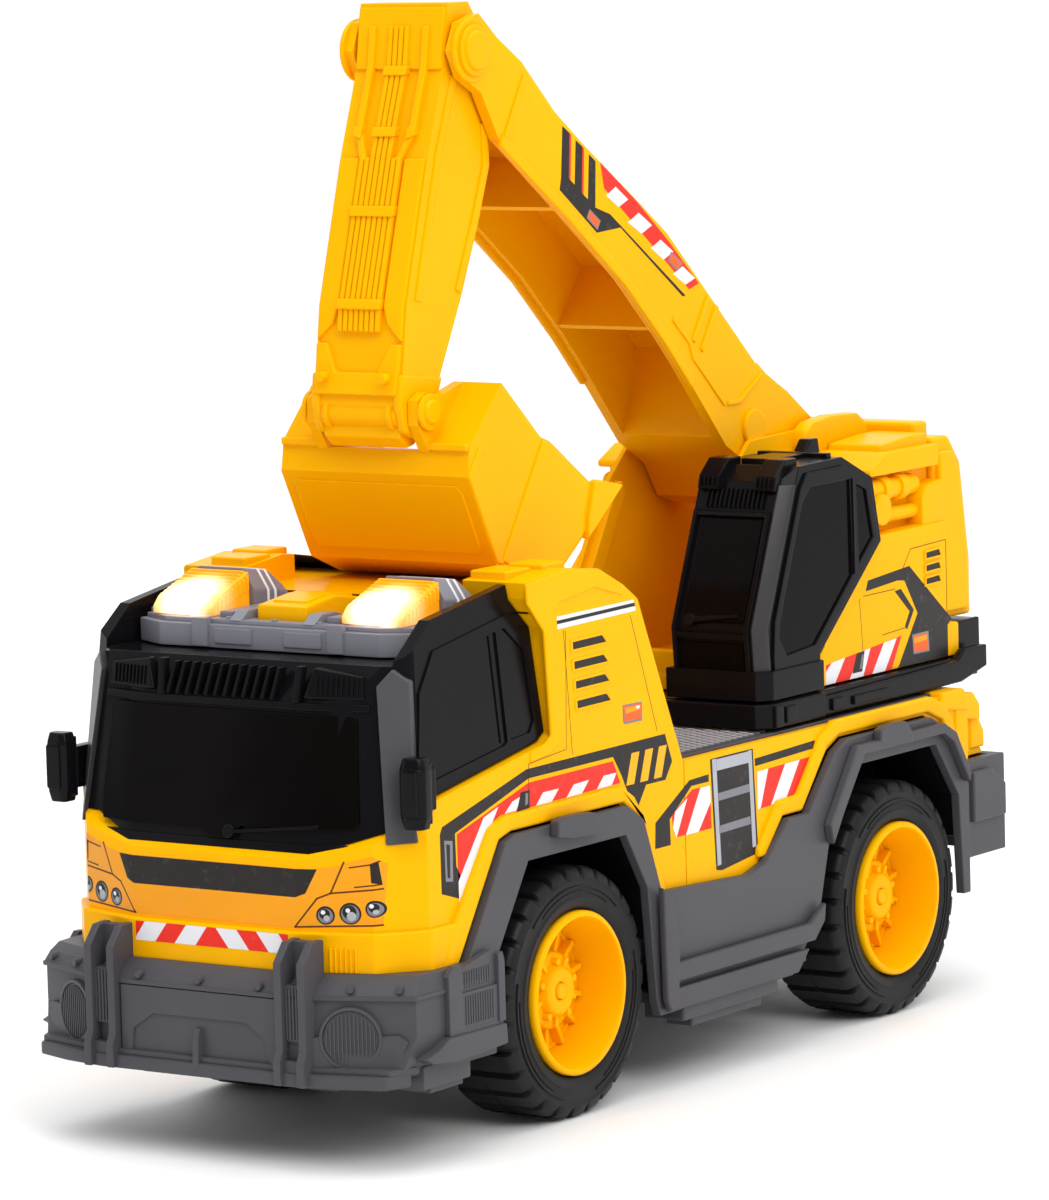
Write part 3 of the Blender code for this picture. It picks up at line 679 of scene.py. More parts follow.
# cab body with its printed film
cab = {"side": 53.0, "louvres": 4, "louvreDrop": (0.45, -5.02), "chevronFace": -79.1,
       "signBars": (27.0, 33.4, 39.8)}
cabPlan = level([(0, -77.5), (25, -77.5), (44, -71.5), (53, -61)])
cabFolds = [((x, 0), (1, 0)) for x in (-44, -25, 25, 44)]


def cabFront(x, z):
    return cabPlan(abs(x))


def makeCab():
    body = Piece("cab_body_moulded", finishes["yellow"])
    body.add(copyOf("cab_shell", 0.8))
    outer = [(25, -79.1), (44.8, -72.9), (54.3, -61.9), (54.4, -50.4)]
    inner = [(24, -76.5), (43, -70.4), (52, -60), (52, -50.4)]
    body.add(plate("Z", ushape(outer, inner), 47.4, 57.9, 0.8))
    slot = [(4.2, 120.4), (17.6, 120.6), (19.4, 118.7), (4.3, 118.5)]
    for sign in (1, -1):
        fold = Matrix.Translation((25, -79.1, 0)) @ Matrix.Rotation(atan2(6.2, 19.8), 4, "Z")
        rib = placed(block(9.2, 9.8, -0.5, 0.4, 48, 54.2, 0.25), fold)
        ribs = repeated(rib, 6, step=(1.3 * cos(0.303), 1.3 * sin(0.303), 0))
        parts = [ribs]
        arch = [(-56.6, 47.5), (-55.4, 53), (-36.0, 78.8), (-29.8, 81.1), (23.2, 81.3), (28.6, 78.0),
                (34.4, 70.3),
                (42.0, 53.5), (42.0, 51), (39, 51), (31.6, 71.9), (23.6, 77.0), (-27.2, 77.0), (-32.4, 75.6),
                (-51, 47.5)]
        parts.append(plate("X", arch, 52, 54.6, 0.9))
        post = [(-16.2, 95.2), (-13.2, 95.6), (-9.4, 96.6), (-6.6, 98.2), (-8.6, 124.6), (-15.6, 132.2),
                (-16, 137.2),
                (1, 139), (17, 137.2), (28, 132), (26.6, 129.8), (14, 133.2), (-2.2, 131.0), (-4.6, 127),
                (-2.6, 96), (-8, 93.6), (-16, 92.6)]
        parts.append(plate("X", post, 52.4, 53.5, 0.4))
        louvre = minus(plate("X", [(3.2, 121.2), (18.0, 121.4), (20.6, 118.1), (3.3, 117.9)], 52.6, 53.25, 0),
                       plate("X", slot, 52, 54, 0))
        parts.append(repeated(softened(louvre, 0.15), cab["louvres"], step=(0, *cab["louvreDrop"])))
        parts += [block(35.0, 46.0, -14.0, -3.0, 136.6, 139.9, 0.6),
                  block(38.0, 48.6, -1.6, 8.4, 136.6, 140.4, 0.6)]
        body.add(*parts, sign=sign)
    body.done("cab_shell")

    front = Piece("cab_front_film", *[inks[key] for key in ("panel", "black", "brown", "silver", "grey",
                                                            "white")])

    def lay(outline, finish, layer):
        front.add(wrapped(outline, film["over"] + film["layer"] * layer, cabFront, cabFolds), finish=finish)

    lay([(-45.5, 59.4), (-25.7, 58.6), (25.7, 58.6), (45.5, 59.4), (46.6, 74.6), (44, 76.6), (34, 73.8),
         (30.4, 73.4),
         (-30.4, 73.4), (-34, 73.8), (-44, 76.6), (-46.6, 74.6)], 0, 0)
    lay([(-30.4, 73.2), (30.4, 73.2), (27.4, 67.2), (24.8, 66.2), (-24.8, 66.2), (-27.4, 67.2)], 1, 1)
    for sign in (1, -1):
        lines = [[(45.4, 59.7), (24.6, 58.9)], [(24.6, 58.9), (30.2, 66.0), (33.6, 67.4), (45.6, 68.6)],
                 [(33.6, 67.4), (37.0, 75.0)]]
        for line in lines:
            for outline in stroke(flipped(line, sign), 0.42):
                lay(outline, 2, 1)
        for a, b, radius in ((32.2, 61.9, 2.3), (38.3, 62.5, 2.7), (44.1, 63.7, 2.1)):
            lay(circle(sign * a, b, radius), 1, 1)
            lay(circle(sign * a, b - 0.1, radius - 0.45), 4, 2)
            lay(circle(sign * a - 0.2, b + 0.35, radius - 1.0), 1, 3)
            lay(circle(sign * a - 0.55, b + 0.75, 0.55), 5, 4)
            lay(circle(sign * a + 0.3, b - 0.7, radius - 1.55), 3, 4)
        boxLamp = [(43.4, 74.6), (45.0, 75.4), (45.6, 69.6), (43.6, 70.2)]
        lay(flipped(boxLamp, sign), 1, 1)
        for line in ([(38.4, 73.8), (43.4, 74.6), (45.2, 75.4)], [(39.6, 69.0), (45.4, 69.7)]):
            for outline in stroke(flipped(line, sign), 0.35):
                lay(outline, 2, 1)
    front.done(body="truck", slot="yellow")

    strip = Piece("cab_chevron_film", inks["white"], inks["red"])

    def bandFront(x, z):
        return cab["chevronFace"]

    whole = [(-23.4, 52.3), (23.4, 52.3), (23.4, 57.1), (-23.4, 57.1)]
    strip.add(wrapped(whole, film["over"], bandFront, []))
    bars = [[(-23.4, 57.1), (-20.6, 57.1), (-23.4, 53.2)],
            [(-17.5, 52.3), (-11.5, 52.3), (-7.8, 57.1), (-13.8, 57.1)],
            [(-5.0, 52.3), (5.2, 52.3), (1.4, 57.1), (-1.4, 57.1)],
            [(11.5, 52.3), (17.5, 52.3), (13.8, 57.1), (7.8, 57.1)],
            [(23.4, 57.1), (20.6, 57.1), (23.4, 53.2)]]
    for bar in bars:
        strip.add(wrapped(bar, film["over"] + film["layer"], bandFront, []), finish=1)
    strip.done(body="truck", slot="yellow")

    used = ("black", "white", "red", "orange", "yellow", "grey", "brown", "silver", "panel")
    for side, sign in sides:
        piece, lay = sideFilm(f"cab_side_film_{side}", used, sign, cab["side"])
        lay([(-2.4, 127.6), (32.4, 127.9), (33.4, 125.0), (-2.2, 124.4)], 1, 0)
        lay([(-2.4, 126.6), (32.8, 127.1), (33.1, 126.2), (-2.3, 125.7)], 0, 1)
        for line in ([(0.4, 123.8), (3.0, 92.2)], [(30.8, 124.0), (41.9, 93.0)],
                     [(1.4, 123.6), (0.3, 93.8), (-16.6, 92.4), (-17, 82)]):
            for outline in stroke(line, 0.16):
                lay(outline, 6, 0)
        for index in range(cab["louvres"]):       # the louvres' slots filled with black print, painted shade that makes them read deep
            lay(shifted(slot, *[index * step for step in cab["louvreDrop"]]), 0, 0)
        # a reflector: grey rim and orange fill; the lighter top strip and the white top corner are a painted
        # highlight
        lay([(26.3, 101.6), (35.2, 101.4), (35.2, 96.9), (34.6, 96.5), (26.9, 96.6), (26.3, 97.2)], 5, 0)
        lay([(26.8, 101.2), (34.8, 101.0), (34.8, 97.2), (27.0, 97.1)], 3, 1)
        lay([(27.4, 100.7), (34.3, 100.6), (34.3, 99.6), (27.4, 99.2)], 8, 2)
        lay([(32.2, 100.7), (34.0, 100.6), (33.8, 99.9), (32.6, 99.9)], 1, 3)
        lay([(-55.6, 80.2), (-54.6, 82.0), (-17.6, 91.2), (21.5, 91.5), (45.5, 91.7), (48.6, 84.2),
             (45.2, 79.8),
             (36.2, 79.8), (31.4, 73.6), (28.6, 77.4), (24.8, 84.0), (21.3, 89.0), (-16.8, 88.8),
             (-49.2, 79.7),
             (-49.0, 71.6), (-45.6, 66.0), (-46.9, 63.0), (-55.5, 65.6)], 0, 0)
        lay([(-53.9, 78.6), (-50.4, 78.0), (-50.6, 68.0), (-53.7, 68.4)], 5, 1)
        lay([(-53.1, 77.6), (-51.6, 77.2), (-51.8, 69.0), (-52.9, 69.2)], 0, 2)
        lay([(-48.4, 79.3), (-16.8, 87.7), (21.2, 87.9), (24.3, 81.9), (-29.6, 81.4), (-36.0, 79.0),
             (-48.2, 61.6)], 2, 0)
        for white in ([(-36.8, 81.8), (-30.4, 83.6), (-45.0, 64.4), (-48.2, 61.6), (-48.3, 67.6)],
                      [(-24.2, 84.0), (-19.9, 84.9), (-22.7, 81.5), (-27.6, 81.5)],
                      [(-10.6, 84.4), (-3.6, 84.4), (-6.9, 81.5), (-13.9, 81.5)],
                      [(3.2, 84.5), (10.0, 84.7), (6.7, 81.7), (-0.3, 81.6)],
                      [(16.8, 84.8), (22.6, 84.8), (20.3, 81.9), (13.5, 81.8)]):
            lay(white, 1, 1)
        # three leaning bars
        for y in cab["signBars"]:
            lay([(y, 80.8), (y + 3.6, 80.8), (y + 6.4, 88.8), (y + 2.8, 88.8)], 4, 1)
        lay([(-20.4, 85.8), (-16.5, 85.9), (-16.7, 81.4), (-22.4, 81.2)], 0, 2)
        lay([(-18.4, 85.2), (-17.3, 85.2), (-17.5, 82.6), (-18.7, 82.2)], 5, 3)
        piece.done(body="truck", slot="yellow")


makeCab()
print("cab made")


# windscreen unit, which leans back and narrows upwards
screen = {"fins": 12, "finPitch": 2.9, "grilleBars": 9, "grillePitch": 1.35, "armReach": (86.8, 97.4)}


def screenFront(x, z):
    share = (z - 73) / 49
    low = [(0, -75.5), (28, -75.5), (47.5, -68.5), (52.5, -61.5)]
    high = [(0, -66.5), (25, -66.5), (41, -63.5), (48.5, -58)]
    return level([((1 - share) * a + share * c, (1 - share) * b + share * d)
                  for (a, b), (c, d) in zip(low, high)])(abs(x))


screenFolds = [((sign * a, 73), (49, sign * b)) for sign in (1, -1) for a, b in ((28, 3), (47.5, 6.5))]


def leaned(part):
    for vert in part.verts:
        vert.co.x += 52.5 - 4 * (vert.co.z - 73) / 49
    return part


def makeWindscreen():
    piece = Piece("windscreen_unit", finishes["black"], finishes["smoke"], finishes["darkTrim"])
    piece.add(copyOf("windscreen_frame", 0.9))

    def lay(outline, lift, depth=0.8, soft=0.25, finish=0):
        piece.add(softened(wrapped(outline, lift, screenFront, screenFolds, depth), soft, 30), finish=finish)

    glass = [(-39.6, 83), (-38.6, 80.8), (-5.4, 80.6), (-1.8, 78.9), (3.4, 78.9), (6.8, 82.2), (38.6, 82.4),
             (39.6, 84),
             (37.6, 108.4), (36.6, 110.2), (-36.6, 110.2), (-37.6, 108.4)]
    lay(glass, 1.1, 0.6, 0.35, 1)
    lay([(-41.5, 76.4), (-40.4, 78.8), (40.4, 78.8), (41.5, 76.4), (40.8, 75.2), (-40.8, 75.2)], 0.7)
    lay([(-40.6, 111.0), (40.6, 111.0), (40.2, 112.8), (-40.2, 112.8)], 1.0)
    lay([(-21.6, 112.8), (-19.6, 112.8), (-20.2, 121.6), (-22.2, 121.6)], 1.5)
    lay([(21.6, 112.8), (19.6, 112.8), (20.2, 121.6), (22.2, 121.6)], 1.5)
    fin = wrapped([(-19.0, 113.2), (-18.1, 113.2), (-16.4, 121.0), (-17.3, 121.0)], 1.5, screenFront, [], 1.5)
    piece.add(repeated(softened(fin, 0.15), screen["fins"], step=(screen["finPitch"], 0, 0)))
    for sign in (1, -1):
        lay(flipped([(23.0, 114.0), (39.0, 114.0), (38.4, 119.6), (25.4, 121.4)], sign), 1.3, 1.5, 0.4)
        for index in range(screen["grilleBars"]):
            x = sign * (26.4 + screen["grillePitch"] * index)
            lay([(x, 114.8), (x + 0.45, 114.8), (x + 0.45, 119.4), (x, 119.4)], 1.75, 2.2, 0.12)
        pillar = [(46.8, 79.2), (51.6, 79.2), (48.5, 118.4), (45.0, 121.4), (42.2, 117.4)]
        lay(flipped(pillar, sign), 1.95, 1.8, 0.35, 2)
        window = [(-57.4, 93.0), (-58.6, 95.6), (-55.6, 113.2), (-48.6, 121.6), (-23.2, 126.2), (-22.4, 98.6),
                  (-24, 97.8)]
        rear = [(-21.0, 98.9), (-21.8, 126.4), (-19.4, 126.6), (-12.0, 120.4), (-10.2, 102.4), (-12.4, 99.6)]
        surround = [(-60.6, 91.0), (-61.2, 95.0), (-57.6, 115.0), (-50.2, 124.6), (-17.8, 129.8),
                    (-9.6, 122.4),
                    (-7.4, 101.8), (-10.6, 97.4), (-58.0, 90.2)]
        pane = minus(plate("X", surround, -1, 0.55, 0), plate("X", window, -2, 2, 0),
                     plate("X", rear, -2, 2, 0))
        seam = plate("X", [(-25.0, 98.6), (-24.5, 98.6), (-25.6, 125.9), (-26.1, 125.9)], -1, 0.35, 0.1)
        piece.add(leaned(softened(pane, 0.3)), leaned(seam), sign=sign)
    arm = [(3.0, 81.0), (4.0, 80.4), (30.0, 83.0), (30.0, 83.8)]
    lay(arm, 1.7, 1.0, 0.15)
    lay(circle(3.6, 80.9, 1.7, 18), 1.9, 1.2, 0.25)
    piece.done("windscreen_frame")

    for side, sign in sides:
        mirror = Piece(f"mirror_{side}_moulded", finishes["black"])
        shell = [(51.2, -69.4), (53, -70.4), (57, -70.0), (58.2, -68.4), (58.0, -65.4), (51.2, -65.4)]
        small = [(52.0, -68.9), (53, -69.6), (56.4, -69.4), (57.4, -68.2), (57.2, -65.4), (52.0, -65.4)]
        mirror.add(loft("Z", small, 83.4, shell, 86.6, 0.5), plate("Z", shell, 86.4, 98.4, 0.5),
                   loft("Z", shell, 98.2, small, 101.0, 0.5),
                   plate("Y", [(52.6, 87), (52.6, 98), (56.9, 98), (56.9, 87)], -70.8, -69.4, 0.5),
                   block(51.6, 57.6, -65.6, -64.6, 84.6, 99.8, 0.4),
                   block(50.4, 53.8, -66.2, -57.4, *screen["armReach"], 0.6), sign=sign)
        mirror.done(f"mirror_{side}")


makeWindscreen()
print("windscreen made")


# light bar: the ribbed lenses are lit
lightBar = {"lampX": 29.3, "rings": 9, "ringStep": (0, 1.58, 0.6), "bands": (-26.6, -23.6), "bandWidth": 0.9}


def makeLightBar():
    bar = Piece("roof_bar_stepped", finishes["pale_grey"], finishes["steel"])
    outline = [(34, -52), (43.9, -47), (43.9, -16.6)]
    inset = [(33.2, -50.2), (42.6, -45.6), (42.8, -16.6)]

    def opened(half, bottom, top):
        hole = block(-8.1, 8.1, -46.4, -19.6, 110, 140, 0)
        bores = [rod("Z", 2.9, 110, 140, sign * lightBar["lampX"], -41, soft=0, count=20) for sign in (1, -1)]
        return minus(plate("Z", bothHalves(half), bottom, top, 0), hole, *bores)

    bar.add(softened(opened(outline, 122.3, 128.2), 0.5), softened(opened(inset, 128, 129.4), 0.35))
    wedge = [(-50.6, 129.2), (-47, 131.6), (-41, 131.6), (-34, 129.2)]
    both(bar, block(5, 16.5, -52.5, -51, 123.6, 127.4, 0.3),
         block(18.5, 23.2, -52.9, -50.6, 122.6, 129.9, 0.4),
         plate("X", wedge, 9.4, 13.2, 0.4), block(14.6, 18.6, -47, -18, 129.2, 131.0, 0.4),
         block(39.8, 42.6, -44, -18, 129.2, 130.6, 0.4))
    bar.add(repeated(rod("Z", 0.8, 129.2, 130.0, -14, -49.2, soft=0.2, count=12), 3, step=(14, 0, 0)),
            finish=0)
    bar.done("roof_light_bar")
    for side, sign in sides:
        x = sign * lightBar["lampX"]
        glass = Piece(f"beacon_lens_ribbed_{side}", finishes["amber"])
        slope = [(-48.5, 129.7), (-48.5, 131.6), (-46, 134), (-32.3, 139.2), (-32.3, 129.7)]
        inside = [(-46.9, 128), (-46.9, 131.2), (-45, 132.7), (-31, 137.9), (-31, 128)]
        shell = minus(plate("X", slope, x - 9.3, x + 9.3, 0), plate("X", inside, x - 8.1, x + 8.1, 0))
        glass.add(softened(shell, 0.7))
        ring = minus(plate("Y", [(x - 9.7, 129.9), (x - 9.7, 132.9), (x - 8.2, 134.6), (x + 8.2, 134.6),
                                 (x + 9.7, 132.9),
                                 (x + 9.7, 129.9)], -46.4, -45.6, 0),
                     plate("Y", [(x - 8.6, 129), (x - 8.6, 132.4), (x - 7.7, 133.3), (x + 7.7, 133.3),
                                 (x + 8.6, 132.4),
                                 (x + 8.6, 129)], -47, -45, 0))
        glass.add(repeated(softened(ring, 0.2), lightBar["rings"], step=lightBar["ringStep"]))
        glass.done(f"beacon_lens_{side}")
        cap = Piece(f"beacon_cap_banded_{side}", finishes["pale_grey"], inks["white"])
        low = [(x - 10.5, 129.7), (x - 10.5, 134.6), (x - 7.2, 140.0), (x + 7.2, 140.0), (x + 10.5, 134.6),
               (x + 10.5, 129.7)]
        rear = [(x - 10.3, 129.7), (x - 10.3, 132.0), (x - 8.0, 134.2), (x + 8.0, 134.2), (x + 10.3, 132.0),
                (x + 10.3, 129.7)]
        mid = [(x - 10.5, 129.7), (x - 10.5, 133.4), (x - 7.2, 138.2), (x + 7.2, 138.2), (x + 10.5, 133.4),
               (x + 10.5, 129.7)]
        cap.add(loft("Y", low, -32, mid, -21.4, 0.6), loft("Y", mid, -21.5, rear, -16.8, 0.6))
        for y in lightBar["bands"]:
            drop = (y + 32) / 10.6
            band = [(x - 10.56, 129.8), (x - 10.56, 134.6 - 1.2 * drop), (x - 7.24, 140.06 - 1.8 * drop),
                    (x + 7.24, 140.06 - 1.8 * drop), (x + 10.56, 134.6 - 1.2 * drop), (x + 10.56, 129.8)]
            cap.add(plate("Y", band, y, y + lightBar["bandWidth"], 0), finish=1)
        cap.done(f"beacon_cap_{side}")
    cap = Piece("roof_button_sloped", finishes["yellow"])
    top = [(-46.0, 127.6), (-46.0, 133.0), (-33, 134.6), (-20, 132.6), (-20, 127.6)]
    hollow = minus(plate("X", top, -7.7, 7.7, 0), rod("Z", 4.4, 120, 131.8, 0, -31, soft=0, count=32))
    cap.add(softened(hollow, 0.9), rod("Z", 1.6, 114.8, 132.4, 0, -31, soft=0.2))
    cap.add(plate("X", [(-42.6, 133.0), (-42.6, 133.9), (-33, 135.1), (-23, 133.6), (-23, 132.8)], -5.2, 5.2,
                  0.3))
    cap.done("roof_button")


makeLightBar()
print("light bar made")


rearBody = {"side": 53.0, "ribs": 32, "ribPitch": 2.4, "treads": (70.8, 62.2), "lozenges": 18,
            "lozengePitch": 5.5,
            "rows": 16, "rowPitch": 2.8}


def makeRearBody():
    body = Piece("rear_body_moulded", finishes["yellow"])
    body.add(copyOf("rear_body", 0.7))
    for sign in (1, -1):
        flange = [(90.6, 53.2), (99.4, 62.6), (109.2, 62.6), (122.6, 78.0), (128.4, 80.4), (175, 80.4),
                  (182.6, 77.4),
                  (186.4, 71.6), (190, 73.4), (184.6, 81.6), (176.4, 84.6), (126.6, 84.6), (119.6, 81.0),
                  (107.4, 67.2), (97.6, 66.9), (87.2, 55.4), (87.2, 53.2)]
        body.add(plate("X", flange, 52, 54.4, 0.9), block(47.5, 53.6, 191, 197.6, 64, 82.2, 0.8),
                 plate("X", [(182, 80), (183, 84.7), (194.6, 84.7), (197.4, 82), (197.4, 78)], 40, 54.2, 0.9),
                 plate("X", [(196, 76), (196, 82.4), (203, 82.4), (206.4, 78.6), (206.4, 74)], 38, 52.4, 0.8),
                 plate("X", [(204, 66), (204, 76.4), (208, 75.4), (211.4, 70.4), (211.4, 66)], 38, 50.6, 0.7),
                 sign=sign)
    body.add(repeated(block(-37.2, -36.4, 205.2, 207, 66.4, 72, 0.2), rearBody["ribs"],
                      step=(rearBody["ribPitch"], 0, 0)))
    body.done("rear_body")

    for side, sign in sides:
        piece, lay = sideFilm(f"rear_side_film_{side}", ("black", "white", "red", "silver", "grey"), sign,
                              rearBody["side"])
        lay([(47.9, 70.3), (57.8, 75.5), (66.1, 75.4), (66.6, 64.1), (49.5, 64.2), (48.2, 67)], 2)
        lay([(49.4, 70.9), (55.2, 73.6), (49.8, 64.2), (49.5, 64.2), (48.2, 67)], 1, 1)
        lay([(61.6, 75.4), (66.1, 75.4), (66.3, 71.0), (60.2, 64.1), (54.2, 64.1)], 1, 1)
        lay([(65.7, 78.4), (56.5, 78.1), (40.1, 69.3), (39.7, 62.6), (47.0, 62.6), (46.8, 69.3), (57.4, 76.5),
             (65.7, 76.5)], 0)
        lay([(88.1, 79.4), (118.4, 80.3), (117.0, 78.2), (88.3, 77.4)], 0)
        lay([(89, 75.8), (115.2, 76.2), (114.2, 74.4), (107.3, 66.3), (89, 65.8)], 2)
        lay([(89.1, 75.8), (94.6, 75.9), (90.4, 65.9), (89, 65.8)], 1, 1)
        lay([(103, 76.0), (110.2, 76.1), (102.7, 66.2), (95.6, 66.1)], 1, 1)
        lay([(66.6, 82.2), (68.4, 52.9), (71, 52.4), (88.8, 54.4), (87.2, 82.2)], 0, 2)
        lay([(67.3, 82.0), (68.9, 53.8), (70.7, 54.0), (69.3, 82.0)], 3, 3)
        lay([(84.8, 82.0), (86.0, 56.2), (87.8, 56.2), (86.5, 82.0)], 3, 3)
        for low in rearBody["treads"]:
            lay([(70.0, low), (69.9, low + 2.0), (85.1, low + 2.4), (85.3, low + 0.3)], 4, 4)
        lay([(69.5, 78.8), (69.4, 81.8), (84.8, 81.8), (84.9, 78.8)], 3, 4)
        piece.done(body="truck", slot="yellow")

    deck = Piece("deck_chequered", finishes["dark_grey"], inks["silver"])
    deck.add(copyOf("deck_plate", 0.3))
    deck.add(block(-50.2, 50.2, 54.6, 57.4, 83.4, 85.6, 0.4))
    lozenge = [(-49.3, 60.2), (-47.6, 59.5), (-45.9, 60.2), (-47.6, 60.9)]
    cross = [(-46.4, 61.6), (-44.8, 60.9), (-43.2, 61.6), (-44.8, 62.3)]
    for shape, count in ((lozenge, rearBody["lozenges"]), (cross, rearBody["lozenges"] - 1)):
        for row in range(rearBody["rows"]):
            one = plate("Z", shifted(shape, 0, rearBody["rowPitch"] * row), deckTop - 0.1, deckTop + 0.35,
                        0.08)
            deck.add(repeated(one, count, step=(rearBody["lozengePitch"], 0, 0)), finish=1)
    deck.done("deck_plate")

    liner = Piece("wheel_well_liners", finishes["black"])
    wells = (([(-48, 40), (-49, 47.2), (-31.2, 74.8), (-26.9, 76.2), (23, 76.2), (30.4, 71.6), (37.8, 52),
               (37.8, 40)],
              [(33.2, 40), (31.6, 54), (22.2, 69.2), (-22.2, 69.2), (-36.6, 47.4), (-40, 40)]),
             ([(100.6, 44), (100.6, 61.8), (109.6, 61.8), (123.6, 76.2), (129.9, 79), (174, 79),
               (180.8, 75.8),
               (188.2, 65), (192.6, 44)],
              [(189.2, 44), (188, 56), (176.2, 71.7), (134.8, 71.7), (119.2, 52.2), (115.4, 44)]))
    for outer, inner in wells:
        both(liner, plate("X", outer + inner, 31, 53.2, 0.2), plate("X", outer, 30.4, 31.1, 0))
        for index in range(4):
            y = inner[1][0] - 10 - 9 * index if outer[0][0] < 0 else inner[2][0] - 6 - 9 * index
            both(liner, block(30.8, 31.5, y, y + 0.8, 44, 68, 0.2))
    liner.done(body="truck", slot="black")

    for side, sign in sides:
        skirt = Piece(f"side_skirt_stepped_{side}", finishes["dark_grey"])
        skirt.add(copyOf(f"side_skirt_{side}", 1.3, 30))
        ledge = [(37.2, 30.0), (38.4, 33.2), (106, 33.2), (113.4, 37.6), (112.6, 33.0), (107.6, 28.4),
                 (37.8, 28.4)]
        post = [(34.4, 53.8), (38.6, 50.6), (41.6, 38), (40.4, 22), (36.6, 21.4), (35.2, 24.4)]
        frontTab = [(-12.6, 73.6), (-12.4, 77.6), (-10, 78.3), (-4.4, 78.3), (4.4, 77.6), (7.0, 73.9),
                    (6.4, 71.9),
                    (-5, 72.2)]
        rearTab = [(142.6, 76.4), (142.9, 80.0), (146, 80.8), (156, 80.8), (159.6, 77.0), (159, 74.6),
                   (147, 74.8)]
        arch = [(118, 52.6), (123.4, 60.4), (134.6, 74.6), (176.6, 74.6), (181.4, 71.8), (189.8, 59.4),
                (190.6, 62),
                (183, 74.2), (176.8, 77.4), (131.4, 77.2), (116.6, 57.8)]
        skirt.add(plate("X", ledge, 56.6, 58.6, 0.5),
                  plate("X", [(37, 21), (37.4, 26.6), (105.4, 26.6), (99.6, 21)], 56.6, 58.2, 0.5),
                  block(44, 56.4, 46, 92, 16.8, 21.4, 0.8), block(47, 55, 52, 86, 14.4, 17.4, 0.6),
                  plate("X", post, 57, 58.9, 0.5), plate("X", frontTab, 56, 58.9, 0.6),
                  plate("X", rearTab, 56, 58.9, 0.6), plate("X", arch, 56, 58.7, 0.5), sign=sign)
        skirt.done(f"side_skirt_{side}")

    rear = Piece("rear_bumper_stepped", finishes["dark_grey"])
    rear.add(copyOf("rear_bumper", 1.2, 30))
    both(rear, plate("X", [(196, 47), (196, 61), (206, 61), (213.4, 56), (213.4, 47)], 53, 56.2, 0.6),
         block(42, 52.4, 214, 216.6, 44, 60, 0.6))
    rear.add(repeated(block(-38.6, -37.6, 214.8, 216.2, 42, 60, 0.3), 12, step=(6.9, 0, 0)))
    rear.done("rear_bumper")


deckTop = (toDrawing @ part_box("deck_plate")[1]).z
makeRearBody()
print("rear body made")


# turret: base, housing with its boom well, counterweight and operator's cab
turret = {"side": 46.5, "vents": 3, "ventDrop": (-0.1, -3.6), "baseRibs": 12, "baseRibPitch": 7.1}


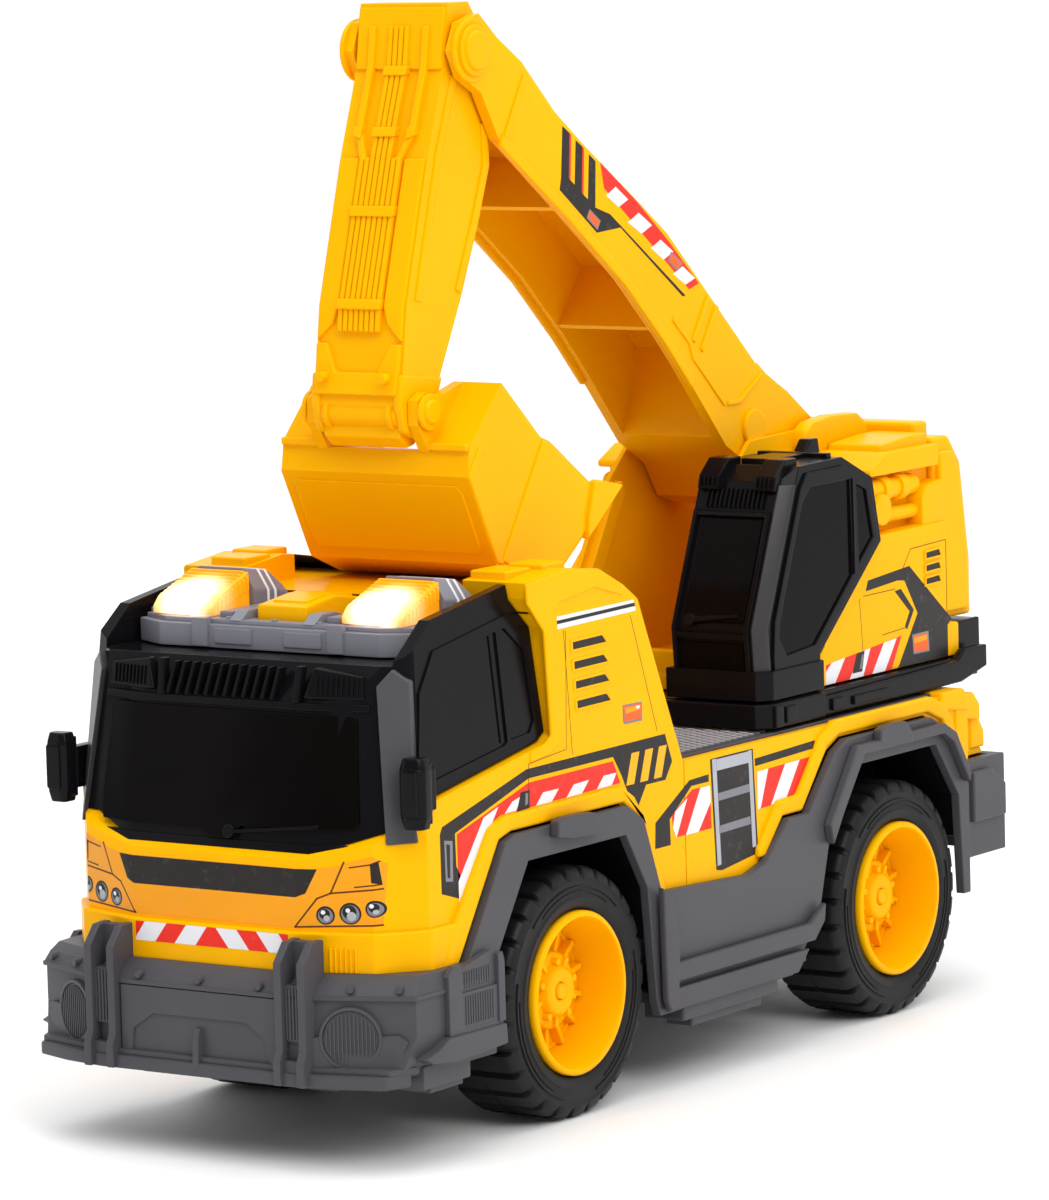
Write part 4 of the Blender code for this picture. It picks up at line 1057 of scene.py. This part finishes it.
def makeTurret():
    base = Piece("turret_base_stepped", finishes["black"])
    base.add(copyOf("turret_base", 0.6))
    step = [(17, 97.8), (47.4, 97.8), (50.8, 102.2), (50.8, 128), (46, 130), (17, 130)]
    base.add(plate("Z", step, 85.2, 91.8, 0.5))
    both(base, plate("X", [(128, 85.4), (128, 90.4), (198, 91.6), (202, 94.4), (214, 94.4), (214, 88.4),
                           (200, 85.4)],
                     48, 50.4, 0.5))
    base.add(block(50, 51.6, 107, 112.4, 86.2, 90.6, 0.4), block(50, 51.6, 101.6, 105.6, 85.6, 91.4, 0.3))
    both(base, block(49, 51.2, 131, 137, 86.4, 89.6, 0.3), block(49, 51.2, 142, 160, 86.6, 89.0, 0.3))
    both(base, plate("X", [(206.2, 90), (201.2, 96.2), (201.4, 101.2), (218.4, 101.4), (218.6, 86)], 44,
                     45.6, 0.6))
    base.add(repeated(block(-39.4, -38.2, 219.2, 220.6, 88, 98.6, 0.3), turret["baseRibs"],
                      step=(turret["baseRibPitch"], 0, 0)))
    base.done("turret_base")

    housing = Piece("turret_housing_moulded", finishes["yellow"])
    low = [(130.5, 92.3), (130.5, 101.4), (163, 128.4), (164, 130), (199.9, 130.4), (199.9, 101.6),
           (205.7, 101.6), (205.7, 92.3)]
    well = block(-18.3, 18.3, 90, 196.5, 97, 200, 0)
    housing.add(softened(minus(plate("X", low, -46.5, 46.5, 0), well), 0.9))
    both(housing, plate("X", [(163.2, 128), (163.2, 147), (199.9, 147), (199.9, 128)], 18.3, 40.5, 0.6),
         plate("X", [(163.2, 145.6), (163.2, 147.4), (172, 151.6), (199.9, 151.6), (199.9, 145.6)], 18.3,
               44.6, 1.1),
         plate("X", [(174, 150), (175, 153.4), (190, 154.6), (199.8, 154.6), (199.8, 150)], 24, 41, 0.9),
         plate("X", [(188.6, 129), (188.6, 138), (191, 141), (199.9, 142), (199.9, 129)], 40, 45.6, 0.8),
         rod("Y", 2.9, 165, 190, 41.4, 141.4, soft=0.7), rod("Y", 2.0, 165, 189, 42.2, 134.2, soft=0.5),
         rod("Y", 3.7, 171, 175, 41.4, 141.4, soft=0.5), rod("Y", 3.7, 180, 184, 41.4, 141.4, soft=0.5),
         rod("X", 4.4, 40, 45.4, 168.6, 136.4, soft=0.7))
    cheek = [(112, 92.3), (112, 120), (126, 143), (142, 157), (190, 158.5), (196.5, 150), (196.5, 92.3)]
    for x in (-19.7, 18.2):
        housing.add(softened(minus(plate("X", cheek, x, x + 1.5, 0),
                                   rod("X", 3.2, -30, 30, 160, 146, soft=0)), 0.3))
    both(housing, plate("X", [(163.4, 154.4), (164.6, 157.8), (169, 159.8), (178, 160.8), (192, 160.3),
                              (196.4, 157.4),
                              (198.4, 151), (163.4, 151)], 18.4, 23.6, 1.3))
    both(housing, plate("X", [(113, 96), (113, 118.6), (127, 141), (132, 146), (134, 143), (118.4, 117),
                              (118.4, 96)],
                        15.4, 18.6, 0.6))
    housing.add(block(-19, 19, 111.6, 140, 92.3, 97, 0.8), block(-18.4, 18.4, 111.8, 116, 96, 103, 0.9))
    housing.add(block(-18.3, 18.3, 190, 197.5, 96, 149.6, 0.6))
    vent = [(188.1, 122.6), (195.1, 122.9), (196.1, 121.2), (188.1, 121.0)]
    rim = [(187.4, 123.2), (195.6, 123.6), (197, 120.7), (187.4, 120.4)]
    for index in range(turret["vents"]):
        drop = [index * step for step in turret["ventDrop"]]
        frameOf = minus(plate("X", shifted(rim, *drop), 46.3, 46.95, 0),
                        plate("X", shifted(vent, *drop), 46, 48, 0))
        both(housing, softened(frameOf, 0.12))
    both(housing, plate("X", [(131.2, 92.6), (131.2, 101.2), (134, 103.6), (134, 92.6)], 46, 47.3, 0.3))
    housing.done("turret_housing")

    weight = Piece("counterweight_stepped", finishes["yellow"])
    weight.add(copyOf("counterweight", 1.3))
    weight.add(block(-36, 36, 200.6, 208.4, 151, 157.0, 1.2), block(-25, 25, 208, 211.4, 146, 153.4, 0.9))
    both(weight, plate("X", [(202, 104), (202, 149), (208.6, 149), (213.2, 142.6), (216.6, 118),
                             (216.6, 104)], 41, 43.6, 0.9),
         block(30, 38.6, 214.6, 220.9, 106, 118, 0.8))
    weight.add(repeated(block(-24, 24, 214, 219.4, 124, 126.4, 0.6), 4, step=(0, -0.9, 5.2)))
    weight.done("counterweight")

    used = ("black", "white", "red", "orange", "yellow", "grey", "brown", "panel")
    for side, sign in sides:
        piece, lay = sideFilm(f"engine_panel_film_{side}", used, sign, turret["side"])
        lay([(156.3, 115.5), (157.6, 118.3), (179.4, 119.9), (201.6, 102.8), (199.4, 101.4), (199.4, 92.6),
             (172.6, 92.6),
             (183.4, 106.4), (176.7, 116.2), (172.9, 116.6)], 0)
        lay([(171.5, 113.8), (174.7, 114.1), (181.4, 107.6), (177.6, 102.6), (176.6, 103.6), (179.2, 107.4)],
            0, 1)
        for line, width in (([(155.0, 114.3), (171.6, 114.4)], 0.2), ([(164.6, 102.6), (177.0, 103.2)], 0.2),
                            ([(176.2, 119.8), (180.3, 124.5), (199.2, 125.1), (199.2, 103.6)], 0.2),
                            ([(153.0, 113.9), (154.8, 93.2)], 0.18)):
            for outline in stroke(line, width):
                lay(outline, 6)
        lay([(134.8, 97.9), (174.6, 101.2), (169.0, 92.6), (134.8, 92.6)], 2)
        lay([(138.0, 98.2), (144.9, 98.8), (139.6, 92.6), (134.8, 92.6), (134.8, 96.0)], 1, 1)
        lay([(153.1, 99.4), (158.1, 99.8), (154.1, 92.6), (147.0, 92.6)], 1, 1)
        lay([(165.2, 100.4), (172.0, 100.9), (165.5, 92.6), (158.8, 92.6)], 1, 1)
        lay([(151.0, 99.2), (155.0, 99.5), (153.5, 94.0), (148.5, 94.0)], 0, 2)
        lay([(153.6, 98.6), (154.4, 98.6), (153.2, 94.8), (152.2, 94.8)], 5, 3)
        # a reflector: grey rim and orange fill; the lighter top strip is a painted highlight
        lay([(180.2, 100.8), (188.9, 100.9), (189.3, 95.2), (180.8, 95.3)], 5, 1)
        lay([(180.8, 100.3), (188.3, 100.4), (188.7, 95.7), (181.3, 95.8)], 3, 2)
        lay([(181.2, 99.8), (187.9, 99.9), (188.0, 98.6), (181.3, 98.2)], 7, 3)
        # the vents' slots filled with black print, painted shade that makes them read deep
        for index in range(turret["vents"]):
            lay(shifted(vent, *[index * step for step in turret["ventDrop"]]), 0)
        piece.done(body=bodyOf["turret_housing"], slot="yellow")


def sliced(part, point, normal):
    # cut off on the side the normal points to, and closed again
    bmesh.ops.bisect_plane(part, geom=part.verts[:] + part.edges[:] + part.faces[:], plane_co=point,
                           plane_no=normal,
                           clear_outer=True)
    bmesh.ops.holes_fill(part, edges=[edge for edge in part.edges if edge.is_boundary], sides=0)
    return part


glazedCab = {"corner": 48, "cornerReach": 3.6, "slats": 13, "slatPitch": 1.45, "hornBars": 4,
             "hornPitch": 1.3}


def makeOperatorCab():
    piece = Piece("operator_cab_glazed", finishes["black"], finishes["smoke"], finishes["charcoal"])
    side = [(102, 92.3), (100.5, 111.5), (116, 149), (121, 153), (143, 153.5), (158.5, 146.5),
            (162.5, 128.8), (130, 101.8), (130, 92.3)]
    outer, reach = glazedCab["corner"], glazedCab["cornerReach"]
    shell = plate("X", side, 20, outer, 0)
    for (y, z), (v, w) in (((100.5, 111.5), (116, 149)), ((102, 92.3), (100.5, 111.5))):
        run = Vector((0, v - y, w - z))
        sliced(shell, (outer - reach, y, z), Vector((reach, reach, 0)).cross(run).normalized())
    piece.add(softened(shell, 0.8, 20))
    piece.add(plate("X", [(144, 150), (144.6, 154), (147.6, 157.4), (151.6, 157.4), (153, 150)], 31.6, 35.4,
                    0.5))
    face = level([(92.3, 102), (111.5, 100.5), (149, 116)])

    def lay(outline, lift, depth=0.9, soft=0.25, finish=0):
        folds = [((0, 111.5), (0, 1))]
        piece.add(softened(wrapped(outline, lift, lambda x, z: face(z), folds, depth), soft, 30),
                  finish=finish)

    lay([(23.2, 113.2), (42.6, 113.2), (42.6, 139.6), (23.2, 139.6)], 0.7, 0.6, 0.3, 1)
    lay([(23.2, 94.4), (42.6, 94.4), (42.6, 107.6), (23.2, 107.6)], 0.7, 0.6, 0.3, 1)
    for x in (20.6, 43.2):
        lay([(x, 93.6), (x + 1.3, 93.6), (x + 1.3, 141.6), (x, 141.6)], 1.3)
    lay([(20.8, 140.2), (44.2, 140.2), (44.2, 141.4), (20.8, 141.4)], 1.2)
    lay([(20.8, 108.6), (44.2, 108.6), (44.2, 110.2), (20.8, 110.2)], 1.2)
    lay([(26.2, 112.9), (26.4, 114.3), (40.4, 115.3), (40.6, 114.6)], 1.3, 0.7, 0.12)
    lay(circle(25.9, 113.5, 1.6, 18), 1.5, 0.8, 0.2)
    for index in range(glazedCab["slats"]):
        x = 23.6 + glazedCab["slatPitch"] * index
        lay([(x, 142.4), (x + 0.6, 142.4), (x + 0.6, 147.2), (x, 147.2)], 1.0, 0.5, 0.15)
    for x in (21.0, 38.6):
        piece.add(plate("X", [(112.9, 147.0), (113.9, 150.6), (119.0, 154.9), (125.0, 154.9), (125.0, 150),
                              (117, 146)],
                        x, x + 6.6, 0.6))
        bar = [(x + 1.0, 148.0), (x + 1.5, 148.0), (x + 1.5, 150.4), (x + 1.0, 150.4)]
        for index in range(glazedCab["hornBars"]):
            lay(shifted(bar, glazedCab["hornPitch"] * index, 0), 3.2, 1.0, 0.1)
    piece.add(block(28, 38, 124, 140, 152, 154.4, 0.5), block(23, 45, 140, 142.6, 152.4, 154.6, 0.4))
    frameOf = [(105.6, 104), (106.4, 113), (120.6, 147.2), (124, 151.0), (142.4, 151.4), (156.4, 145.0),
               (160.2, 129.4),
               (129.0, 103.2), (128.0, 96.5), (106, 96.5)]
    window = [(108.4, 108.4), (108.8, 112.4), (121.4, 143.4), (125.4, 147.0), (145.6, 147.2), (146.4, 121.6),
              (126.4, 104.8), (112, 103.6)]
    rear = [(149.0, 145.6), (153.9, 143.6), (157.2, 130.4), (149.6, 124.2)]
    ring = minus(plate("X", frameOf, 47, 48.8, 0), plate("X", window, 46, 50, 0), plate("X", rear, 46, 50, 0))
    piece.add(softened(ring, 0.35))
    piece.add(plate("X", window, 47, 48.15, 0.1), plate("X", rear, 47, 48.15, 0.1), finish=1)
    piece.add(plate("X", [(146.6, 121.4), (147.4, 122.0), (147.2, 147.4), (146.4, 147.4)], 47, 49.2, 0.2))
    corner = bmesh.new()
    points = [(92.9, 102.0), (111.5, 100.5), (148.4, 115.8)]
    rows = []
    for z, y in points:
        rows.append([corner.verts.new((x, y + off, z)) for x, off in
                     ((45.0, 0.10), (47.4, 2.5), (48.0, 3.9), (46.6, 4.0), (43.6, 1.0))])
    for first, second in zip(rows, rows[1:]):
        for index in range(5):
            after = (index + 1) % 5
            corner.faces.new((first[index], first[after], second[after], second[index]))
    corner.faces.new(rows[0])
    corner.faces.new(rows[-1])
    bmesh.ops.recalc_face_normals(corner, faces=corner.faces)
    bmesh.ops.translate(corner, verts=corner.verts, vec=(0.25, -0.5, 0))
    piece.add(softened(corner, 0.2), finish=2)
    skirt = [(18.2, 99.6), (46.6, 99.6), (49.6, 103.4), (49.6, 129.4), (18.2, 129.4)]
    piece.add(plate("Z", skirt, 92.4, 100.4, 0.5))
    piece.done("operator_cab")


makeTurret()
makeOperatorCab()
print("turret made")


# digger
armFront = level([(170, -12), (180, -11.5), (192, -9.5), (204.8, -7.7), (243, 3.8), (264, 11.5), (280, 14)])
armFolds = [((0, z), (0, 1)) for z in (180, 192, 204.8, 243, 264)]
armPipes = {"runs": ((8, 198.4, 241.6), (4, 241.2, 274.4)), "pitch": 1.65, "half": 0.68,
            "clamps": ((3.6, 262.0, 2.4), (3.6, 246.8, 2.4), (6.8, 227.0, 2.6), (6.8, 204.0, 2.6))}
boomSide = 17.5
teeth = {"at": (-20, -10, 0, 10, 20), "half": 2.6}


def makeArm():
    piece = Piece("arm_piped", finishes["yellow"])
    piece.add(copyOf("arm", 1.5, 30))

    def lay(outline, lift, soft=0.4):
        piece.add(softened(wrapped(outline, lift, lambda x, z: armFront(z), armFolds, 0.8), soft, 35))

    lay([(-13.2, 263.4), (13.2, 263.4), (13.2, 279), (-13.2, 279)], 0.9, 0.5)
    for sign in (1, -1):
        plateOf = [(13.0, 241.4), (7.0, 241.4), (7.0, 205.0), (8.4, 200.4), (13.0, 196.0)]
        lay(flipped(plateOf, sign), 1.1, 0.5)
        lay(flipped([(9.2, 274.4), (7.2, 274.4), (7.2, 247.8), (9.2, 248.2)], sign), 1.9, 0.55)
        lay(flipped([(9.4, 249.4), (7.0, 249.4), (7.0, 246.2), (9.4, 247.0)], sign), 2.3, 0.4)
        lay(flipped([(9.2, 248.2), (7.2, 247.8), (4.4, 241.0), (6.2, 240.2)], sign), 1.7, 0.5)
        hubPlate = plate("X", [(-11.2, 188), (-12.2, 180), (-10.2, 173.2), (-4.6, 170.9), (1.0, 173.2),
                               (4.2, 180.6),
                               (6.6, 186)], 11.4, 14.0, 0.8)
        edgeStrip = plate("X", [(14.6, 262), (7.0, 243.4), (-4.2, 206), (-1.6, 205.4), (9.2, 242.6),
                                (16.8, 261)], 13.0, 14.1, 0.5)
        back = plate("X", [(29.4, 249), (29.6, 238.4), (24.0, 224.4), (15.6, 206.4), (13.6, 207.4),
                           (22.0, 225.2),
                           (27.2, 238.6), (27.0, 249)], 13.0, 14.1, 0.4)
        piece.add(hubPlate, edgeStrip, back, sign=sign)
        piece.add(rod("Y", 1.4, -14.4, -10.6, sign * 9.6, 187.0, soft=0.4))
    for count, low, high in armPipes["runs"]:
        x, half = -armPipes["pitch"] * (count - 1) / 2, armPipes["half"]
        pipe = wrapped([(x - half, low), (x + half, low), (x + half, high), (x - half, high)], 1.8,
                       lambda x, z: armFront(z), armFolds, 0.8)
        piece.add(repeated(softened(pipe, 0.42, 35), count, step=(armPipes["pitch"], 0, 0)))
    for half, z, tall in armPipes["clamps"]:
        lay([(-half, z), (half, z), (half, z + tall), (-half, z + tall)], 2.4, 0.4)
    lay([(-12.6, 182.6), (12.6, 182.6), (12.9, 195.4), (9.8, 195.4), (6.6, 188.2), (-6.6, 188.2),
         (-9.8, 195.4),
         (-12.9, 195.4)], 1.5, 0.5)
    piece.add(plate("X", [(-9.8, 171.6), (-6.6, 168.9), (-3.6, 169.5), (0.8, 173.3), (0.2, 175.4),
                          (-5.0, 176.4),
                          (-9.8, 175.0)], -11.8, 11.8, 0.5))
    piece.add(rod("X", 3.6, -11.6, 11.6, -8.0, 177.6, soft=0.4),
              rod("X", 4.4, -10.4, -9, -8.0, 177.6, soft=0.3),
              rod("X", 4.4, 9, 10.4, -8.0, 177.6, soft=0.3))
    piece.done("arm")


def makeBoom():
    piece = Piece("boom_channel", finishes["yellow"])
    piece.add(copyOf("boom", 1.1, 26))
    top = [(34.2, 268.8), (41.2, 264.8), (48.0, 258.6), (48.2, 256.8), (54, 251.5), (50, 248), (33, 263)]
    lower = [(125.4, 199.8), (131.8, 194.6), (151, 177.4), (152.4, 177.2), (160.2, 171.4), (158, 168),
             (122, 196)]
    for outline in (top, lower):
        piece.add(plate("X", outline, -16.2, 16.2, 0.7))
    piece.add(plate("X", [(163.4, 170.0), (168, 168.4), (176, 162.2), (172, 158), (161, 166)], -15.6, 15.6,
                    0.6))
    both(piece, plate("X", [(40.8, 260.8), (42.0, 260.0), (32.6, 244.4), (31.4, 245.6)], 17, 18.1, 0.3),
         plate("X", [(125.2, 197.8), (126.8, 196.6), (118.6, 185.4), (117.2, 186.4)], 17, 18.2, 0.35),
         plate("X", [(129.2, 195.0), (130.6, 193.9), (122.4, 182.6), (121.2, 183.6)], 17, 18.2, 0.35),
         plate("X", [(134.2, 168.6), (140.0, 168.6), (151.4, 174.8), (152.0, 173.8), (140.2, 167.2),
                     (134.2, 167.2)],
               17, 18.2, 0.3),
         rod("X", 5.2, 17, 18.8, 146.6, 160.2, soft=0.6),
         plate("X", [(29.2, 243.0), (58.8, 222.6), (85, 203.4), (103.7, 186.4), (116.4, 173.4),
                     (118.4, 175.4),
                     (105.4, 189.0), (86.4, 206.2), (60.2, 225.2), (30.6, 246.0)], 16.6, 18.3, 0.5),
         plate("X", [(108.8, 193.6), (117.4, 186.0), (118.6, 182.5), (133.6, 168.4), (132.6, 167.2),
                     (117.2, 181.4),
                     (116.0, 185.2), (107.8, 192.4)], 17, 18.0, 0.3),
         rod("X", 8.2, 16.8, 18.0, 18.4, 267.9, soft=0.4, count=36))
    piece.done("boom")
    for side, sign in sides:
        film, lay = sideFilm(f"boom_film_{side}", ("black", "white", "red", "orange", "grey"), sign, boomSide)
        lay([(75.6, 236.2), (77.1, 229.4), (116.8, 199.9), (121.6, 201.2), (107.6, 213.2), (92.6, 224.8)], 2)
        for bar in ([(82.5, 229.4), (77.9, 227.4), (83.7, 224.0), (88.3, 225.7)],
                      [(93.2, 221.9), (88.0, 219.7), (94.3, 216.3), (99.4, 218.2)],
                      [(103.4, 214.1), (98.7, 212.2), (104.6, 208.7), (109.4, 210.5)],
                      [(113.8, 206.3), (109.1, 204.6), (115.0, 201.3), (119.7, 202.7)]):
            lay(bar, 1, 1)
        # a lattice of bars
        lay([(58.4, 246.6), (61.6, 244.6), (60.6, 230.6), (57.2, 233.2)], 0)
        lay([(64.4, 242.6), (67.4, 240.8), (66.4, 226.4), (63.2, 228.6)], 0)
        lay([(70.4, 238.6), (73.4, 236.6), (72.6, 221.8), (69.2, 224.2)], 0)
        lay([(61.6, 244.6), (62.4, 244.0), (61.4, 230.0), (60.6, 230.6)], 2)
        lay([(67.4, 240.8), (68.2, 240.2), (67.2, 225.8), (66.4, 226.4)], 2)
        lay([(57.2, 233.2), (56.4, 230.2), (73.2, 218.0), (84.4, 218.6), (79.6, 222.4), (72.6, 224.6),
             (60.6, 233.0)], 0, 1)
        lay([(79.6, 222.4), (84.4, 218.6), (113.5, 198.3), (114.9, 198.4)], 0, 1)
        lay([(70.0, 224.4), (75.0, 221.0), (73.4, 218.6), (68.4, 222.2)], 4, 2)
        lay([(70.1, 223.8), (74.4, 220.9), (73.2, 219.2), (69.0, 222.3)], 3, 3)
        lay([(108.2, 210.6), (113.9, 207.2), (111.0, 205.2), (106.7, 208.2)], 4, 2)
        lay([(108.4, 210.0), (113.1, 207.2), (110.9, 205.8), (107.5, 208.2)], 3, 3)
        film.done(body=bodyOf["boom"], slot="yellow")


def makeBucket():
    piece = Piece("bucket_folded", finishes["yellow"])
    piece.add(copyOf("bucket", 1.1, 26))
    both(piece, plate("X", [(28.4, 168.4), (30.6, 167.4), (49.6, 154.6), (60.4, 152.4), (49, 144.9),
                            (35.8, 135.6),
                            (19.4, 134.6), (9.0, 139.2)], 28.4, 29.7, 0.5),
         plate("X", [(46.6, 146.4), (49.6, 155.4), (51.4, 155.9), (63.0, 153.4), (49.2, 143.2),
                     (46.0, 141.0)], 28.4, 30.8, 0.5),
         plate("X", [(-3.6, 164.4), (-5.0, 161.8), (6.5, 139.0), (9.6, 138.4), (-2.0, 161.9), (2.6, 168.0),
                     (0.2, 169.4)],
               28.4, 29.5, 0.4))
    piece.add(block(-28.6, 28.6, 48.6, 51.4, 143.4, 146.4, 0.6))
    front = level([(138.5, 6.5), (162, -5.2)])
    rim = [(-24.6, 159.6), (-26, 157.4), (-26, 143.0), (-24.8, 141.4), (24.8, 141.4), (26, 143.0),
           (26, 157.4), (24.6, 159.6)]
    piece.add(softened(wrapped(rim, 0.55, lambda x, z: front(z), [], 0.5), 0.3, 35))
    both(piece, block(15.2, 28.8, -5.4, -3.2, 168.4, 170.4, 0.5))
    for x in teeth["at"]:
        piece.add(plate("X", [(56.5, 148.2), (63.6, 153.4), (64.8, 152.6), (58, 147.6)], x - teeth["half"],
                        x + teeth["half"], 0.4))
    piece.done("bucket")


def makeCaps():
    for joint, radius, inner, outer in (("elbow", 6.6, 17.7, 19.9), ("bucket", 4.7, 17.4, 19.6)):
        for side, sign in sides:
            low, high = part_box(f"{joint}_cap_{side}")
            centre = toDrawing @ ((low + high) / 2)
            cap = Piece(f"{joint}_cap_domed_{side}", finishes["yellow"])
            cap.add(rod("X", radius, inner, outer - 0.9, centre.y, centre.z, soft=0.5, count=36),
                    rod("X", radius - 1.3, outer - 1.0, outer, centre.y, centre.z, top=radius - 1.9,
                        soft=0.3, count=36),
                    sign=sign)
            cap.done(f"{joint}_cap_{side}")


makeArm()
makeBoom()
makeBucket()
makeCaps()
print("digger made")


# what no piece has replaced keeps its CAD shape, with its slot's finish
for name, node in nodes.items():
    if not node.hide_render:
        node.data.materials.clear()
        node.data.materials.append(finishes[slotOf[name]].material)

# floor, lights and camera
floorMesh = bpy.data.meshes.new("floor")
floorMesh.from_pydata([(-40, -40, 0), (40, -40, 0), (40, 40, 0), (-40, 40, 0)], [], [(0, 1, 2, 3)])
floor = bpy.data.objects.new("floor", floorMesh)
bpy.context.scene.collection.objects.link(floor)
paper = Finish("whitePaper")
paper.set(Base_Color=paper.mixed(paper.noise(30, 3), (0.92, 0.92, 0.92), (0.94, 0.94, 0.94)),
          Roughness=paper.spread(paper.noise(80, 2), 0.55, 0.65))
floorMesh.materials.append(paper.material)

light = {
    "key": ((1.7, -0.9, 1.5), 1.0, 19.0, (1.0, 0.99, 0.97)),
    "fill": ((-1.6, -1.3, 0.9), 1.4, 4.0, (0.97, 0.98, 1.0)),
    "above": ((0.0, 0.2, 1.9), 1.6, 9.0, (1.0, 1.0, 1.0)),
}
for name, (place, size, power, color) in light.items():
    lamp = bpy.data.lights.new(name, "AREA")
    lamp.size, lamp.energy, lamp.color = size, power, color
    stand = bpy.data.objects.new(name, lamp)
    stand.location = place
    stand.rotation_euler = (Vector((0, 0, 0.1)) - Vector(place)).to_track_quat("-Z", "Y").to_euler()
    bpy.context.scene.collection.objects.link(stand)
sun = bpy.data.objects.new("skylight", bpy.data.lights.new("skylight", "SUN"))
sun.data.energy, sun.data.angle = 1.4, radians(60)
sun.rotation_euler = (radians(22), radians(8), 0)
bpy.context.scene.collection.objects.link(sun)
room = bpy.data.worlds.new("paleRoom")
room.use_nodes = True
tree = room.node_tree
place = tree.nodes.new("ShaderNodeTexCoord")
parts = tree.nodes.new("ShaderNodeSeparateXYZ")
shade = tree.nodes.new("ShaderNodeMapRange")
tree.links.new(place.outputs["Generated"], parts.inputs[0])
tree.links.new(parts.outputs["Y"], shade.inputs[0])
for index, value in ((1, -0.6), (2, 0.3), (3, 0.25), (4, 1.0)):
    shade.inputs[index].default_value = value
tree.links.new(shade.outputs[0], tree.nodes["Background"].inputs[1])
tree.nodes["Background"].inputs[0].default_value = (1, 1, 1, 1)
bpy.context.scene.world = room
bpy.context.scene.view_settings.view_transform = "Standard"

view = {"place": (0.9404, -1.3739, 0.3240), "right": (0.82576, 0.56339, -0.02701),
        "up": (-0.04590, 0.11487, 0.99231), "lens": 191.09}
camera = bpy.data.objects.new("camera", bpy.data.cameras.new("camera"))
right, up = Vector(view["right"]).normalized(), Vector(view["up"])
toward = right.cross(up).normalized()
turned = Matrix((right, toward.cross(right), toward)).transposed().to_4x4()
camera.matrix_world = Matrix.Translation(view["place"]) @ turned
camera.data.lens = view["lens"]
camera.data.clip_end = 50
bpy.context.scene.collection.objects.link(camera)
bpy.context.scene.camera = camera
print("stage made")
